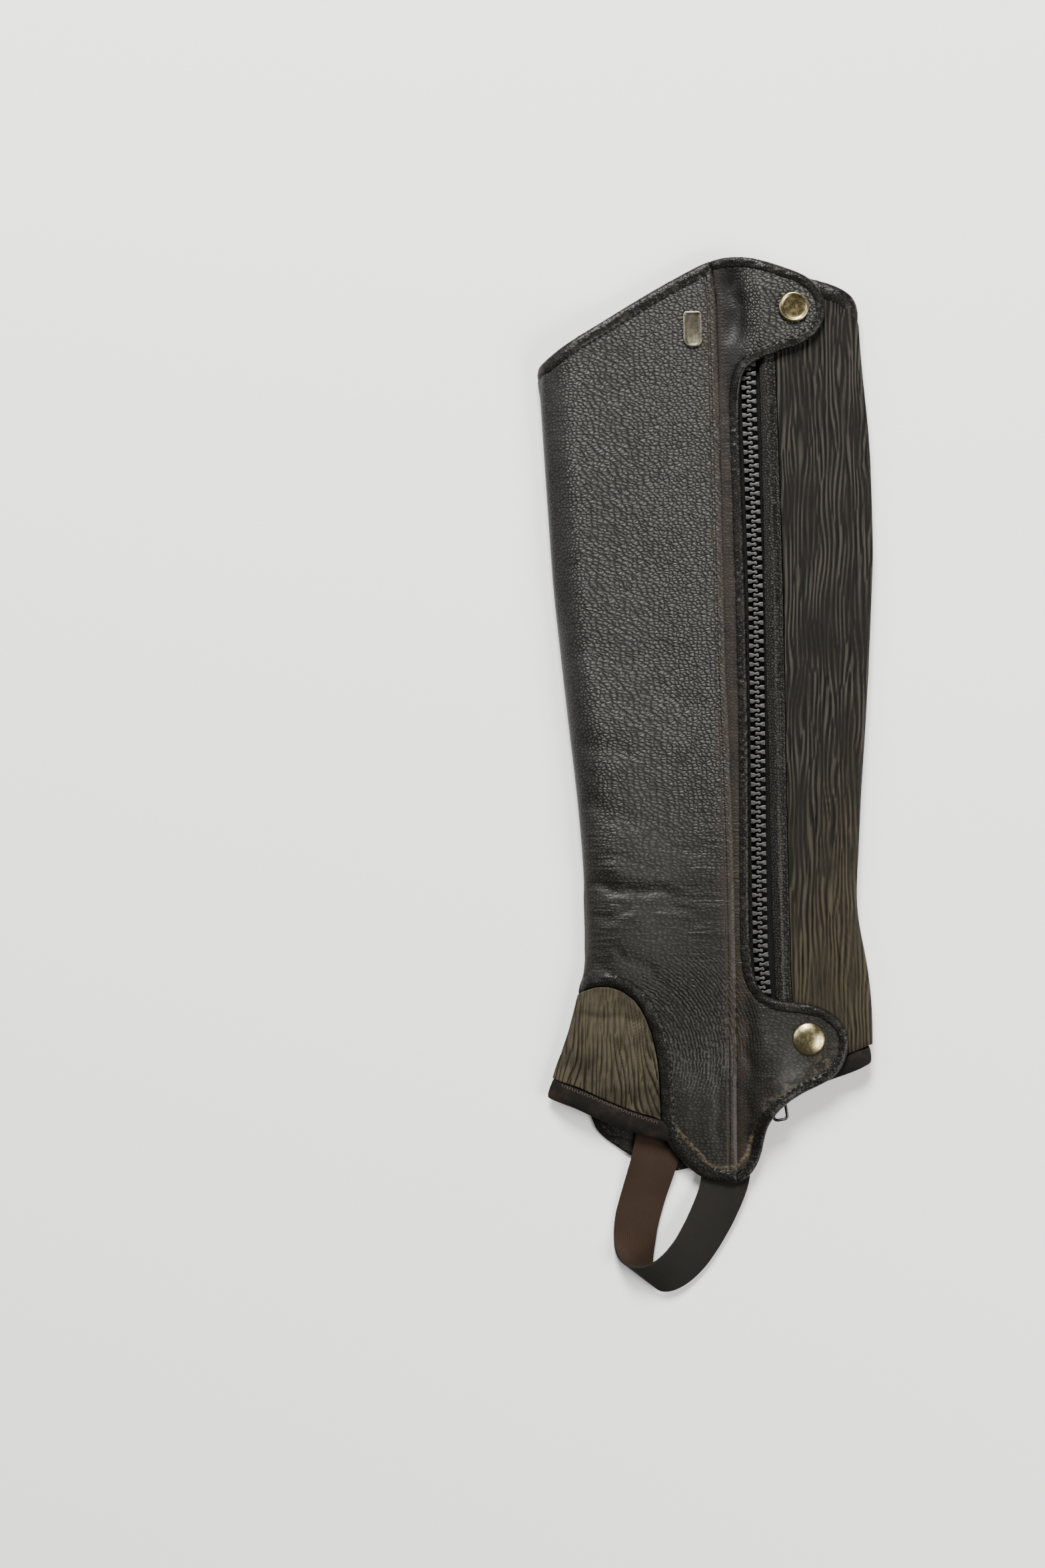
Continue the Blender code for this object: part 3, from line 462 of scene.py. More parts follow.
pebble = times(domed, level(fullness, 0.0, 1.0, 0.7, 1.0))
pores = spots(given["Place"], 2600.0, 2.0)
kept = compute("SUBTRACT", 1.0, given["Worn"])
height = plus(times(pebble, kept), times(pores, 0.12))
# Tops: where each pebble's top is painted lighter in the materials that read it, as a painted highlight.
tops = times(times(level(rise, 0.15, 0.9), dome), level(fullness, 0.0, 1.0, 0.6, 1.0))
connect(result, {"Height": height, "Tops": times(tops, kept)})

# Rubbed patches: uneven, soft at the rim, more or fewer by Amount
rubbed_patches, given, result = new_group(
    "rubbed_patches", {"Place": (0.0, 0.0, 0.0), "Scale": 60.0, "Amount": 0.5}, ("Mask",))
broad = spots(given["Place"], given["Scale"], 5.0, 0.62)
threshold = compute("SUBTRACT", 0.86, times(given["Amount"], 0.5))
edge = compute("DIVIDE", compute("SUBTRACT", broad, threshold), 0.16)
connect(result, {"Mask": add("Clamp", {"Value": edge})["Result"]})


def rubbed(here, scale, amount):
    """Where a piece is rubbed, from 0 to 1."""
    return place_group(rubbed_patches, {"Place": here, "Scale": scale, "Amount": amount})["Mask"]


# Worn lines and patches of the near side: the tongue's sewn line, and round the lower press stud
TONGUE_LINE = [(-18.2, -150.0), (-17.6, -166.0), (-14.5, -171.8), (-2.1, -185.4), (1.5, -190.0),
               (8.3, -191.9), (15.8, -190.6), (20.3, -185.4), (22.6, -176.0)]
TAB_SCUFF = [(62.0, -136.0), (55.5, -142.0), (47.0, -147.0), (38.0, -152.5), (31.0, -160.0)]

# Slits torn beside the lower press stud: x, y, turn in degrees, length, width
SLITS = [(48.9, -119.0, 62.0, 3.4, 1.5), (59.8, -133.3, -22.0, 3.6, 1.2), (42.0, -124.0, 35.0, 2.2, 0.9)]

leather, shader, here = new_material("pebbled_cowhide", 0.46, specular=0.26)
axes = axes_of(here)
low = level(axes["Y"], 0.040, -0.075)
seam_distance = read_mark(shader, "from_seam")
beside_seam = times(level(seam_distance, -3.0, 1.0), level(seam_distance, 17.0, 10.0))
# Near the front fold the grain is smoothed and its painted highlight fades, which paints the fold band
# darker: painted shade.
beside_fold = level(read_mark(shader, "from_fold"), 17.0, 6.0)
smooth = compute("MAXIMUM", times(low, 0.78), times(beside_seam, 0.8))
smooth = compute("MAXIMUM", smooth, times(beside_fold, 0.7))
grain = place_group(pebble_grain, {"Place": here, "Worn": smooth})
wear = rubbed(here, 55.0, level(compute("ABSOLUTE", seam_distance), 16.0, 1.0))
charcoal = mix(spots(here, 16.0, 4.0), (0.002, 0.0019, 0.0017), (0.0048, 0.0046, 0.0041))
warm = mix(times(low, 0.8), charcoal, (0.0054, 0.0045, 0.003))
# The pebbles' tops are painted lighter all over: a painted highlight on the grain.
painted_top_highlight = mix(grain["Tops"], warm, (0.06, 0.057, 0.05))
browned = mix(times(wear, 0.6), painted_top_highlight, (0.019, 0.013, 0.0082))
# In the top tab the leather beside the seam is painted dark brown, partly its own brown and partly painted
# shade in the valley between seam and zip; the middle of that valley is darker still, as painted shade.
in_tab = level(axes["Y"], 0.185, 0.208, 0.0, 0.9)
browned = mix(times(beside_seam, in_tab), browned, (0.006, 0.0038, 0.0024))
valley_shade = times(level(seam_distance, 1.0, 5.0), level(seam_distance, 17.0, 11.0))
browned = mix(times(valley_shade, in_tab), browned, (0.0018, 0.0013, 0.001))
tongue_distance = compute("ABSOLUTE", read_mark(shader, "from_tongue_line"))
cracks = spots(here, 700.0, 4.0, 0.7)
tongue_share = times(level(tongue_distance, 1.5, 0.3), level(cracks, 0.42, 0.60))
tongue_low = level(axes["Y"], -0.148, -0.180, 0.25, 0.9)
worn_line = mix(times(tongue_share, tongue_low), browned, (0.085, 0.064, 0.038))
scuff_distance = compute("ABSOLUTE", read_mark(shader, "from_tab_scuff"))
scuff_share = times(level(scuff_distance, 8.0, 1.0, 0.0, 0.62),
                    level(spots(here, 240.0, 5.0, 0.65), 0.46, 0.62))
coloured = mix(scuff_share, worn_line, (0.05, 0.04, 0.024))
torn = 0.0
for x, y, turn, length, width in SLITS:
    within = add("Mapping", {"Vector": here, "Location": (x * MM, y * MM, 0.014),
                             "Rotation": (0.0, 0.0, math.radians(turn)),
                             "Scale": (length / 2 * MM, width / 2 * MM, 0.02)}, vector_type="TEXTURE")
    reach = add("VectorMath", {0: within["Vector"]}, operation="LENGTH")["Value"]
    torn = compute("MAXIMUM", level(reach, 1.15, 0.7), torn)
coloured = mix(torn, coloured, (0.011, 0.0022, 0.0012))
dulled = plus(level(grain["Tops"], 0.0, 1.0, 0.46, 0.34), times(low, 0.02))
centred = add("Mapping", {"Vector": here, "Location": (0.046, 0.139, 0.0)})["Vector"]
rings = add("TexWave", {"Vector": centred, "Scale": 190.0, "Distortion": 5.0, "Detail": 2.0,
                        "Detail Scale": 1.6}, wave_type="RINGS", rings_direction="Z")["Fac"]
ring_middle = add("VectorMath", {0: here, 1: (-0.008, -0.122, 0.012)}, operation="DISTANCE")
ring_share = level(ring_middle["Value"], 0.046, 0.012, 0.0, 0.95)
folds = add("Mapping", {"Vector": here, "Scale": (60.0, 420.0, 60.0)})["Vector"]
fine_folds = level(spots(folds, 1.0, 2.0), 0.35, 0.65)
fold_share = level(compute("ABSOLUTE", plus(axes["Y"], 0.056)), 0.060, 0.008, 0.16, 0.6)
relief = plus(grain["Height"], plus(times(rings, ring_share), times(fine_folds, fold_share)))
groove = level(compute("ABSOLUTE", plus(seam_distance, 4.0)), 1.0, 0.3, 0.0, 1.4)
relief = compute("SUBTRACT", compute("SUBTRACT", relief, groove), torn)
finish_material(shader, coloured, relief, 1.0, 0.31, dulled)


def on_long_seam(face, far_seam=38.0):
    """Whether a rim face lies on the near or the far seam, where no binding covers it."""
    x, y, z = face.calc_center_median() / MM
    if z > NEAR_ABOVE:
        return abs(x - read(NEAR_SEAM, y)) < 1.2
    return abs(x - far_seam) < 2.4


def leather_piece(node, name, margin):
    """A worn piece of leather, with its points' distances from seam, fold and worn lines kept."""
    piece = copy_of(node, name, "leather", leather)
    reach_under(piece, margin, on_long_seam)
    round_off(piece, 3)
    wear_in(piece)
    points = points_of(piece)
    mark(piece, "from_seam", right_of(points, NEAR_SEAM))
    mark(piece, "from_fold", right_of(points, FRONT_FOLD))
    mark(piece, "from_tongue_line", from_line(points, TONGUE_LINE))
    mark(piece, "from_tab_scuff", from_line(points, TAB_SCUFF))
    return piece


main_panel = leather_piece("leather_panel", "main_panel", 4.6)


# Outer strip. A second leather piece carries the top tab, the border beside the zip and the lower tab,
# and ends in the near tongue. Both tabs reach over the zip to their press studs, so they stand proud.

outer_strip = leather_piece("tab_strip", "outer_strip", 3.8)


# Bindings. Strips of thin soft leather are folded over the cut edges and sewn down on both faces. Each
# is full and round, with small cross wrinkles every few millimetres where it goes round a curve.


def thin_leather(name, tops):
    """Soft thin leather. Tops is how much lighter its grain's tops are painted, as a painted highlight."""
    made, shader, here = new_material(name, 0.42, specular=0.16)
    grain = place_group(pebble_grain, {"Place": here, "Cells": (640.0, 720.0, 0.0), "Furrow": 0.4,
                                       "Worn": 0.15})
    wear = rubbed(here, 90.0, 0.62)
    base = mix(spots(here, 30.0, 4.0), (0.0024, 0.0022, 0.0018), (0.0062, 0.0056, 0.0046))
    worn = mix(times(wear, 0.5), base, (0.018, 0.0158, 0.0126))
    painted_top_highlight = mix(times(grain["Tops"], tops), worn, (0.03, 0.0272, 0.0225))
    finish_material(shader, painted_top_highlight, grain["Height"], 0.8, 0.08 + 0.1 * tops,
                    level(wear, 0.0, 1.0, 0.36, 0.48))
    return made


binding_leather = thin_leather("binding_leather", 0.45)


def crinkle(piece, depth, way=(0.0, 1.0)):
    """Press small uneven wrinkles into a piece, close together along its way and drawn out across it."""
    points, normals = points_of(piece), normals_of(piece)
    turned = np.column_stack([points[:, 0] * way[0] + points[:, 1] * way[1],
                              points[:, 1] * way[0] - points[:, 0] * way[1], points[:, 2]])
    small = ripple(turned, (2.2, 6.0, 12.0), 3.0) + 0.5 * ripple(points, (1.9, 1.9, 5.0), 5.0)
    rise = depth * small * ramp(normals[:, 2], 0.0, 0.6)
    set_points(piece, points + normals * rise[:, None])


for node, name, way in (("top_binding", "top_edge_binding", (0.86, 0.5)),
                        ("top_binding_back", "calf_top_binding", (0.9, -0.4)),
                        ("tab_binding", "tab_edge_binding", (0.0, 1.0)),
                        ("arch_binding", "arch_edge_binding", (0.3, 0.95))):
    edge_binding = copy_of(node, name, "binding", binding_leather)
    round_off(edge_binding, 3, 0.35)
    wear_in(edge_binding, 0.1)
    crinkle(edge_binding, 0.32, way)


# Zip facing. A narrow turned strip of the same leather covers the stretch cloth's edge beside the zip.

# The middle of the facing: x, y
FACING_LINE = [(42.0, -145.0), (38.0, -105.0), (36.6, -60.0), (35.6, -15.0), (33.4, 88.0), (30.3, 193.0),
               (28.7, 237.0)]


def plump(piece, line, height, width):
    """Raise a soft ridge on the near side of a piece, along a line in plan."""
    points = points_of(piece)
    ridge = np.exp(-(from_line(points, line) / width) ** 2) * ramp(points[:, 2], NEAR_ABOVE, 8.0)
    points[:, 2] += height * ridge
    set_points(piece, points)


zip_facing = copy_of("zip_facing", "zip_side_facing", "leather", thin_leather("facing_leather", 1.0))
round_off(zip_facing, 3, 0.4)
plump(zip_facing, [(x - 0.8, y) for x, y in FACING_LINE], 1.4, 2.2)
plump(zip_facing, [(x + 2.4, y) for x, y in FACING_LINE], -0.5, 0.7)
wear_in(zip_facing, 0.2)
crinkle(zip_facing, 0.26)


# Stretch panel. Elastic cloth with a crushed, pleated face runs up the calf. Its pleats are long, wavy
# and uneven, about 2.5 mm apart, and run into each other. Dust has turned it khaki towards the heel.

# Fine pleats: lines drawn out along the cloth, too fine for the mesh
fine_pleats, given, result = new_group(
    "fine_pleats", {"Place": (0.0, 0.0, 0.0), "Drawn": (900.0, 55.0, 300.0)}, ("Height",))
lines = spots(vectors("MULTIPLY", given["Place"], given["Drawn"]), 1.0, 3.0, 0.6)
threads = spots(given["Place"], 3200.0, 1.0)
connect(result, {"Height": plus(level(lines, 0.3, 0.7), times(threads, 0.2))})

stretch_cloth, shader, here = new_material("crushed_stretch_cloth", 0.72, specular=0.12)
axes = axes_of(here)
pleats = place_group(fine_pleats, {"Place": here})
crest = read_mark(shader, "crest")
down = level(axes["Y"], 0.110, -0.120)
to_heel = level(plus(down, level(axes["X"], 0.045, 0.080, 0.0, 0.35)), 0.35, 1.3)
dusty = rubbed(here, 26.0, times(to_heel, 1.25))
olive = mix(spots(here, 22.0, 3.0), (0.0046, 0.004, 0.0031), (0.008, 0.0069, 0.0051))
khaki_share = compute("MAXIMUM", dusty, times(to_heel, 0.55))
khaki = mix(khaki_share, olive, (0.018, 0.0152, 0.0092))
# The pleats' crests are painted lighter in this colour, a painted highlight, and their gaps painted darker, a
# painted shade.
crest_highlight_colour = mix(to_heel, (0.036, 0.0325, 0.0265), (0.043, 0.035, 0.0205))
lit = mix(level(crest, 0.62, 1.08, 0.0, 0.9), khaki, crest_highlight_colour)
shaded = mix(level(crest, 0.5, 0.1, 0.0, 0.7), lit, (0.0015, 0.0013, 0.0009))
# The fine pleat grooves are painted darker: painted shade.
groove_shaded = mix(level(pleats["Height"], 0.6, 0.15, 0.0, 0.45), shaded, (0.0015, 0.0013, 0.001))
finish_material(shader, groove_shaded, pleats["Height"], 0.75, 0.30)


def even_out(piece):
    """Smooth the coarse ribs of a CAD node away, before finer pleats take their place."""
    with mesh_of(piece) as bm:
        outer = [v for v in bm.verts if v.normal.z > 0.3 and v.co.z > NEAR_ABOVE * MM
                 and not any(map(is_sharp, v.link_edges))]
        for _ in range(5):
            bmesh.ops.smooth_vert(bm, verts=outer, factor=0.5, use_axis_z=True)


def pleat(piece, across, pitch, depth):
    """Raise crushed pleats on a piece's near face. Across holds each point's place across the pleats."""
    points, normals = points_of(piece), normals_of(piece)
    face = ramp(normals[:, 2], 0.1, 0.5) * ramp(points[:, 2], NEAR_ABOVE, 8.0)
    rows = []
    for shift, lengths, seed in ((0.0, (8.0, 36.0, 30.0), 4.0), (0.5, (7.0, 28.0, 30.0), 14.0)):
        phase = across / pitch + shift + 1.3 * ripple(points, lengths, seed)
        rows.append(np.abs(np.cos(math.pi * phase)) ** 0.7)
    swapped = ramp(ripple(points, (5.0, 20.0, 30.0), 21.0), -0.08, 0.08)
    wave = rows[0] * (1.0 - swapped) + rows[1] * swapped
    strength = np.clip(0.6 + 1.0 * ripple(points, (6.0, 26.0, 30.0), 6.0), 0.15, 1.1)
    points[:, 2] += face * depth * strength * (wave - 0.6)
    set_points(piece, points)
    mark(piece, "crest", 0.5 + (wave - 0.55) * (0.5 + strength))


STRETCH_WALL = 2.9
calf_panel = copy_of("back_stretch_panel", "calf_stretch_panel", "stretch", stretch_cloth)
reach_under(calf_panel, 3.0, lambda face: face.normal.y < 0.5, STRETCH_WALL)
even_out(calf_panel)
round_off(calf_panel, 2, 0.75)
pleat(calf_panel, points_of(calf_panel)[:, 0], 2.35, 1.0)
wear_in(calf_panel, 0.25)


# Instep gusset. The same elastic cloth lets the front of the ankle bend. It is rubbed to khaki all over,
# smooth near the arch and pleated towards its hem, with the pleats fanned out from the top of the arch.

gusset_cloth, shader, here = new_material("rubbed_gusset_cloth", 0.85, specular=0.12)
fan = add("Mapping", {"Vector": here, "Rotation": (0.0, 0.0, math.radians(9.0))})["Vector"]
pleats = place_group(fine_pleats, {"Place": fan, "Drawn": (620.0, 60.0, 200.0)})
ground = mix(spots(here, 40.0, 4.0), (0.0175, 0.0146, 0.0092), (0.0305, 0.0254, 0.0164))
pale = mix(times(rubbed(here, 48.0, 0.95), 0.6), ground, (0.066, 0.0556, 0.036))
crest = read_mark(shader, "crest")
pleated = level(axes_of(here)["Y"], -0.108, -0.140, 0.25, 1.0)
# The gaps between the pleats are painted darker towards the hem, and the fine pleat grooves too: painted
# shade.
shade_share = times(level(crest, 0.75, 0.2, 0.0, 0.9), pleated)
pale = mix(shade_share, pale, (0.006, 0.0048, 0.003))
groove_shaded = mix(level(pleats["Height"], 0.6, 0.15, 0.0, 0.45), pale, (0.008, 0.0065, 0.004))
finish_material(shader, groove_shaded, pleats["Height"], 0.8, 0.30)

instep_gusset = copy_of("instep_gusset", "instep_stretch_gusset", "gusset", gusset_cloth)
even_out(instep_gusset)
round_off(instep_gusset, 3, 0.75)
places = points_of(instep_gusset)
fanned = places[:, 0] + 0.010 * (places[:, 0] + 48.0) * (places[:, 1] + 130.0)
pleat(instep_gusset, fanned, 2.1, 1.3)
wear_in(instep_gusset, 0.3)


# Hems. The stretch pieces end in a turned hem, dark with boot polish and rubbed to a red brown. The
# gusset's hem runs on under the binding of the arch.

hem_cloth, shader, here = new_material("rubbed_hem_cloth", 0.8, specular=0.12)
ground = mix(spots(here, 60.0, 4.0), (0.003, 0.0025, 0.002), (0.0062, 0.0052, 0.004))
reddened = mix(times(rubbed(here, 110.0, 0.75), 0.6), ground, (0.022, 0.0135, 0.0095))
finish_material(shader, reddened, spots(here, 1900.0, 2.0), 0.6, 0.2)

for node, name in (("gusset_hem", "gusset_edge_hem"), ("back_hem", "heel_edge_hem")):
    hem = copy_of(node, name, "hem", hem_cloth)
    round_off(hem, 2, 0.35)
    places = points_of(hem)
    under_arch = (ramp(places[:, 0], -36.0, -24.0) * ramp(-places[:, 0], 0.0, 10.0)
                  * ramp(places[:, 2], 4.0, 7.0))
    set_points(hem, places + under_arch[:, None] * (3.6, -1.2, 0.0))
    wear_in(hem, 0.2)
    crinkle(hem, 0.15)


# Zip tapes. Two strips of black woven tape are sewn under the leather on either side of the opening,
# and their edges meet under the teeth.

tape_cloth, shader, here = new_material("zip_tape", 0.9, specular=0.12)
weave = add("TexWave", {"Vector": here, "Scale": 420.0, "Distortion": 1.0}, wave_type="BANDS",
            bands_direction="DIAGONAL")["Fac"]
finish_material(shader, mix(weave, (0.003, 0.003, 0.003), (0.009, 0.009, 0.009)), weave, 0.5, 0.1)
for node in ("zip_tape_front", "zip_tape_back"):
    cover(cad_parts[node], tape_cloth)


# Zip teeth. Moulded plastic teeth grip the tape's edge in turn from either side, 4.5 mm apart on a side.
# Each has a broad foot, a narrow neck and a round head, and the heads lock behind each other.

# The middle of the zip: y, x
ZIP_LINE = [(-152, 33.2), (-130, 31.0), (-106, 28.3), (-83, 26.7), (-35, 25.9), (25, 25.4), (90, 24.4),
            (118, 23.6), (180, 21.3), (243, 20.0)]
TOOTH_PITCH, TOOTH_THICKNESS, PROUD_OF_CHAIN = 4.5, 2.1, 0.1
TEETH_FROM, TEETH_TO = -128.0, 206.5

# A height over the whole half chap, in metres, from which places on it are looked for
OVERHEAD = 0.05

# Half of a tooth seen from above, from the middle of its foot round to the tip of its head: x, y
TOOTH_HALF = [(-3.7, 1.15), (-2.0, 1.05), (-1.3, 0.62), (-0.35, 0.55), (0.15, 0.9), (0.85, 0.85),
              (1.2, 0.42)]

tooth_plastic, shader, here = new_material("moulded_teeth", 0.4)
# The teeth are painted lighter where they face up, broken up by scuffs: a painted highlight.
up_facing = axes_of(source(shader, "NewGeometry", "Normal"))["Z"]
scuffs = spots(here, 350.0, 3.0)
painted_top_highlight = times(level(up_facing, 0.6, 0.95), level(scuffs, 0.2, 0.6, 0.35, 1.0))
finish_material(shader, mix(painted_top_highlight, (0.003, 0.003, 0.003), (0.031, 0.031, 0.029)),
                roughness=level(scuffs, 0.3, 0.7, 0.34, 0.5))


def surface_of(*pieces):
    """The outer surface of some pieces, to lay things on."""
    points, faces = [], []
    for piece in pieces:
        start = len(points)
        points += [v.co.copy() for v in piece.data.vertices]
        faces += [tuple(start + i for i in p.vertices) for p in piece.data.polygons]
    return BVHTree.FromPolygons(points, faces)


def place_on(surface, x, y):
    """Where a surface lies at some x and y in millimetres, met from above, or None beside it."""
    return surface.ray_cast(Vector((x * MM, y * MM, OVERHEAD)), Vector((0.0, 0.0, -1.0)))[0]


def from_points(name, points, faces):
    """A new piece from points in metres and faces."""
    mesh = bpy.data.meshes.new(name)
    mesh.from_pydata(points, [], faces)
    return new_object(name, mesh)


def face_outward():
    bpy.ops.mesh.normals_make_consistent(inside=False)


outline = [*TOOTH_HALF, *[(x, -y) for x, y in TOOTH_HALF[::-1]]]
tooth = from_points("tooth", [(x * MM, y * MM, -TOOTH_THICKNESS * MM) for x, y in outline],
                    [tuple(range(len(outline)))[::-1]])
thicken = {"value": (0.0, 0.0, TOOTH_THICKNESS * MM)}
edit_all(tooth, lambda: bpy.ops.mesh.extrude_region_move(TRANSFORM_OT_translate=thicken),
         lambda: bpy.ops.mesh.bevel(offset=0.28 * MM, segments=2, affect="EDGES"))
edit_all(tooth, face_outward)

chain_top = surface_of(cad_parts["zip_chain"])
up = Vector((0.0, 0.0, 1.0))
teeth = []
for i, y in enumerate(np.arange(TEETH_FROM, TEETH_TO, TOOTH_PITCH / 2.0)):
    place = place_on(chain_top, read(ZIP_LINE, y), y)
    if place is None:
        continue
    way = Vector((read(ZIP_LINE, y + 4.0) - read(ZIP_LINE, y), 4.0, 0.0)).normalized()
    across = Vector((way.y, -way.x, 0.0)) * (1.0 if i % 2 else -1.0)
    one = new_object("tooth", tooth.data.copy())
    turn = Matrix((across, up.cross(across), up)).transposed().to_4x4()
    one.data.transform(Matrix.Translation(place + up * PROUD_OF_CHAIN * MM) @ turn)
    teeth.append(one)
bpy.data.objects.remove(tooth)
only(teeth[0])
for one in teeth:
    one.select_set(True)
bpy.ops.object.join()
zip_teeth = bpy.context.object
zip_teeth.name = "zip_teeth"
bpy.ops.object.shade_smooth_by_angle(angle=math.radians(35))
stand_for(zip_teeth, "zip_chain", "chain", tooth_plastic)


# Slider and pull. A cast slider sits closed at the bottom of the zip, under the lower tab, with a bent
# wire loop as its pull. Only the end of the loop shows. The wire is dark and worn bright on its edges.

dark_metal, shader, here = new_material("dark_cast_metal", 0.36, 1.0)
scratches = rubbed(here, 420.0, 0.7)
finish_material(shader, mix(scratches, (0.014, 0.0135, 0.013), (0.06, 0.058, 0.055)),
                roughness=level(spots(here, 900.0), 0.3, 0.7, 0.26, 0.5))
for node in ("zip_slider", "zip_pull", "snap_stud_top", "snap_stud_bottom"):
    cover(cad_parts[node], dark_metal)


# Press stud caps. Thin brass caps are pressed through the tabs: the upper one dished inside a rolled rim,
# the lower one domed. Their lacquer has worn, so they are bright on the rim and brown in the hollow.

brass, shader, here = new_material("worn_brass", 0.28, 1.0)
patina = level(spots(here, 420.0, 5.0, 0.7), 0.35, 0.7)
tone = mix(read_mark(shader, "sunk"), (0.36, 0.31, 0.17), (0.19, 0.155, 0.078))
browned = mix(times(patina, 0.5), tone, (0.095, 0.07, 0.033))
finish_material(shader, browned, spots(here, 2200.0, 2.0), 0.12, 0.05,
                level(patina, 0.0, 1.0, 0.24, 0.42))


def frame_of(node):
    """A frame on a flat CAD node: its middle, Z along its thinnest way and Y along its longest."""
    points = np.array([v.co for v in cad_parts[node].data.vertices])
    points = np.unique(points.round(7), axis=0)
    middle = (points.min(0) + points.max(0)) / 2.0
    long_way, _, thin_way = np.linalg.svd(points - points.mean(0))[2]
    z_axis = Vector(thin_way) * (1.0 if thin_way[2] > 0 else -1.0)
    y_axis = Vector(long_way) * (1.0 if long_way[1] > 0 else -1.0)
    y_axis = (y_axis - z_axis * y_axis.dot(z_axis)).normalized()
    turn = Matrix((y_axis.cross(z_axis), y_axis, z_axis)).transposed().to_4x4()
    return Matrix.Translation(Vector(middle)) @ turn


def pressed_cap(name, node, rings, hollow):
    """A round cap from a disc, inset ring by ring: radius and height above the middle of its node. The
    hollow is the radius inside which it is stained."""
    bpy.ops.mesh.primitive_circle_add(vertices=64, radius=rings[0][0] * MM, fill_type="NGON",
                                      location=(0.0, 0.0, 0.0))
    cap = bpy.context.object
    cap.name = name
    bpy.ops.object.mode_set(mode="EDIT")
    bpy.ops.mesh.select_all(action="SELECT")
    bpy.ops.transform.translate(value=(0.0, 0.0, rings[0][1] * MM))
    for (outer, low), (inner, high) in zip(rings, rings[1:]):
        climb = {"value": (0.0, 0.0, (high - low) * MM)}
        if outer > inner:
            bpy.ops.mesh.inset(thickness=(outer - inner) * MM)
            bpy.ops.transform.translate(**climb)
        else:
            share = inner / outer
            bpy.ops.mesh.extrude_region_move(TRANSFORM_OT_translate=climb)
            bpy.ops.transform.resize(value=(share, share, 1.0), center_override=(0.0, 0.0, 0.0))
    bpy.ops.mesh.poke()
    bpy.ops.object.mode_set(mode="OBJECT")
    modify(cap, "SOLIDIFY", thickness=0.4 * MM, offset=-1.0)
    modify(cap, "SUBSURF", levels=1)
    bpy.ops.object.shade_smooth()
    mark(cap, "sunk", 1.0 - ramp(np.linalg.norm(points_of(cap)[:, :2], axis=1), hollow - 0.6, hollow))
    cap.data.transform(frame_of(node))
    stand_for(cap, node, "brass", brass)


pressed_cap("upper_cap", "snap_cap_top",
            [(7.2, -0.8), (7.5, -0.3), (7.3, 0.3), (6.9, 0.68), (6.5, 0.8), (6.1, 0.62), (5.8, 0.25),
             (4.4, 0.12), (1.5, 0.06)], 6.1)
pressed_cap("lower_cap", "snap_cap_bottom",
            [(7.7, -1.35), (8.0, -1.1), (7.85, -0.75), (7.3, -0.35), (6.3, 0.15), (5.0, 0.65), (3.4, 1.02),
             (1.6, 1.25)], 0.7)


# Metal plate. A small cast plate, round at its foot, is pinned through the leather near the top: a raised
# rim round a plain sunk field, with the polish worn off it.

plate_metal, shader, here = new_material("worn_pewter", 0.36, 1.0)
tarnish = level(spots(here, 600.0, 5.0, 0.7), 0.35, 0.65, 0.0, 0.6)
field = mix(read_mark(shader, "sunk"), (0.29, 0.27, 0.205), (0.185, 0.17, 0.128))
finish_material(shader, mix(tarnish, field, (0.04, 0.034, 0.022)), spots(here, 1500.0), 0.25, 0.08)

PLATE_SIZE = (9.1, 17.3, 1.1)
bpy.ops.mesh.primitive_cube_add(size=1.0, location=(0.0, 0.0, 0.0))
rim_plate = bpy.context.object
rim_plate.name = "rim_plate"
rim_plate.scale = Vector(PLATE_SIZE) * MM
bpy.ops.object.transform_apply(location=False, rotation=False, scale=True)
with mesh_of(rim_plate) as bm:
    for at_foot, radius in ((True, 3.9), (False, 1.7)):
        upright = [e for e in bm.edges if abs(e.verts[0].co.z - e.verts[1].co.z) > 0.5 * MM
                   and is_sharp(e) and (e.verts[0].co.y < 0.0) == at_foot]
        bmesh.ops.bevel(bm, geom=upright, offset=radius * MM, segments=8, profile=0.5, affect="EDGES")
    top = [f for f in bm.faces if f.normal.z > 0.9]
    for inward, rise in ((0.25, 0.12), (0.75, 0.0), (0.3, -0.45)):
        bmesh.ops.inset_region(bm, faces=top, thickness=inward * MM, depth=rise * MM)
modify(rim_plate, "BEVEL", width=0.12 * MM, segments=2)
bpy.ops.object.shade_smooth_by_angle(angle=math.radians(30))
mark(rim_plate, "sunk", 1.0 - ramp(points_of(rim_plate)[:, 2], 0.25, 0.5))
rim_plate.data.transform(frame_of("badge_plate"))
stand_for(rim_plate, "badge_plate", "plate", plate_metal)


# Stirrup strap. Woven elastic, 24 mm wide, goes under the boot from tongue to tongue and is turned over
# at the left. Its outer face is black, and its inner face has faded to a rusty brown.

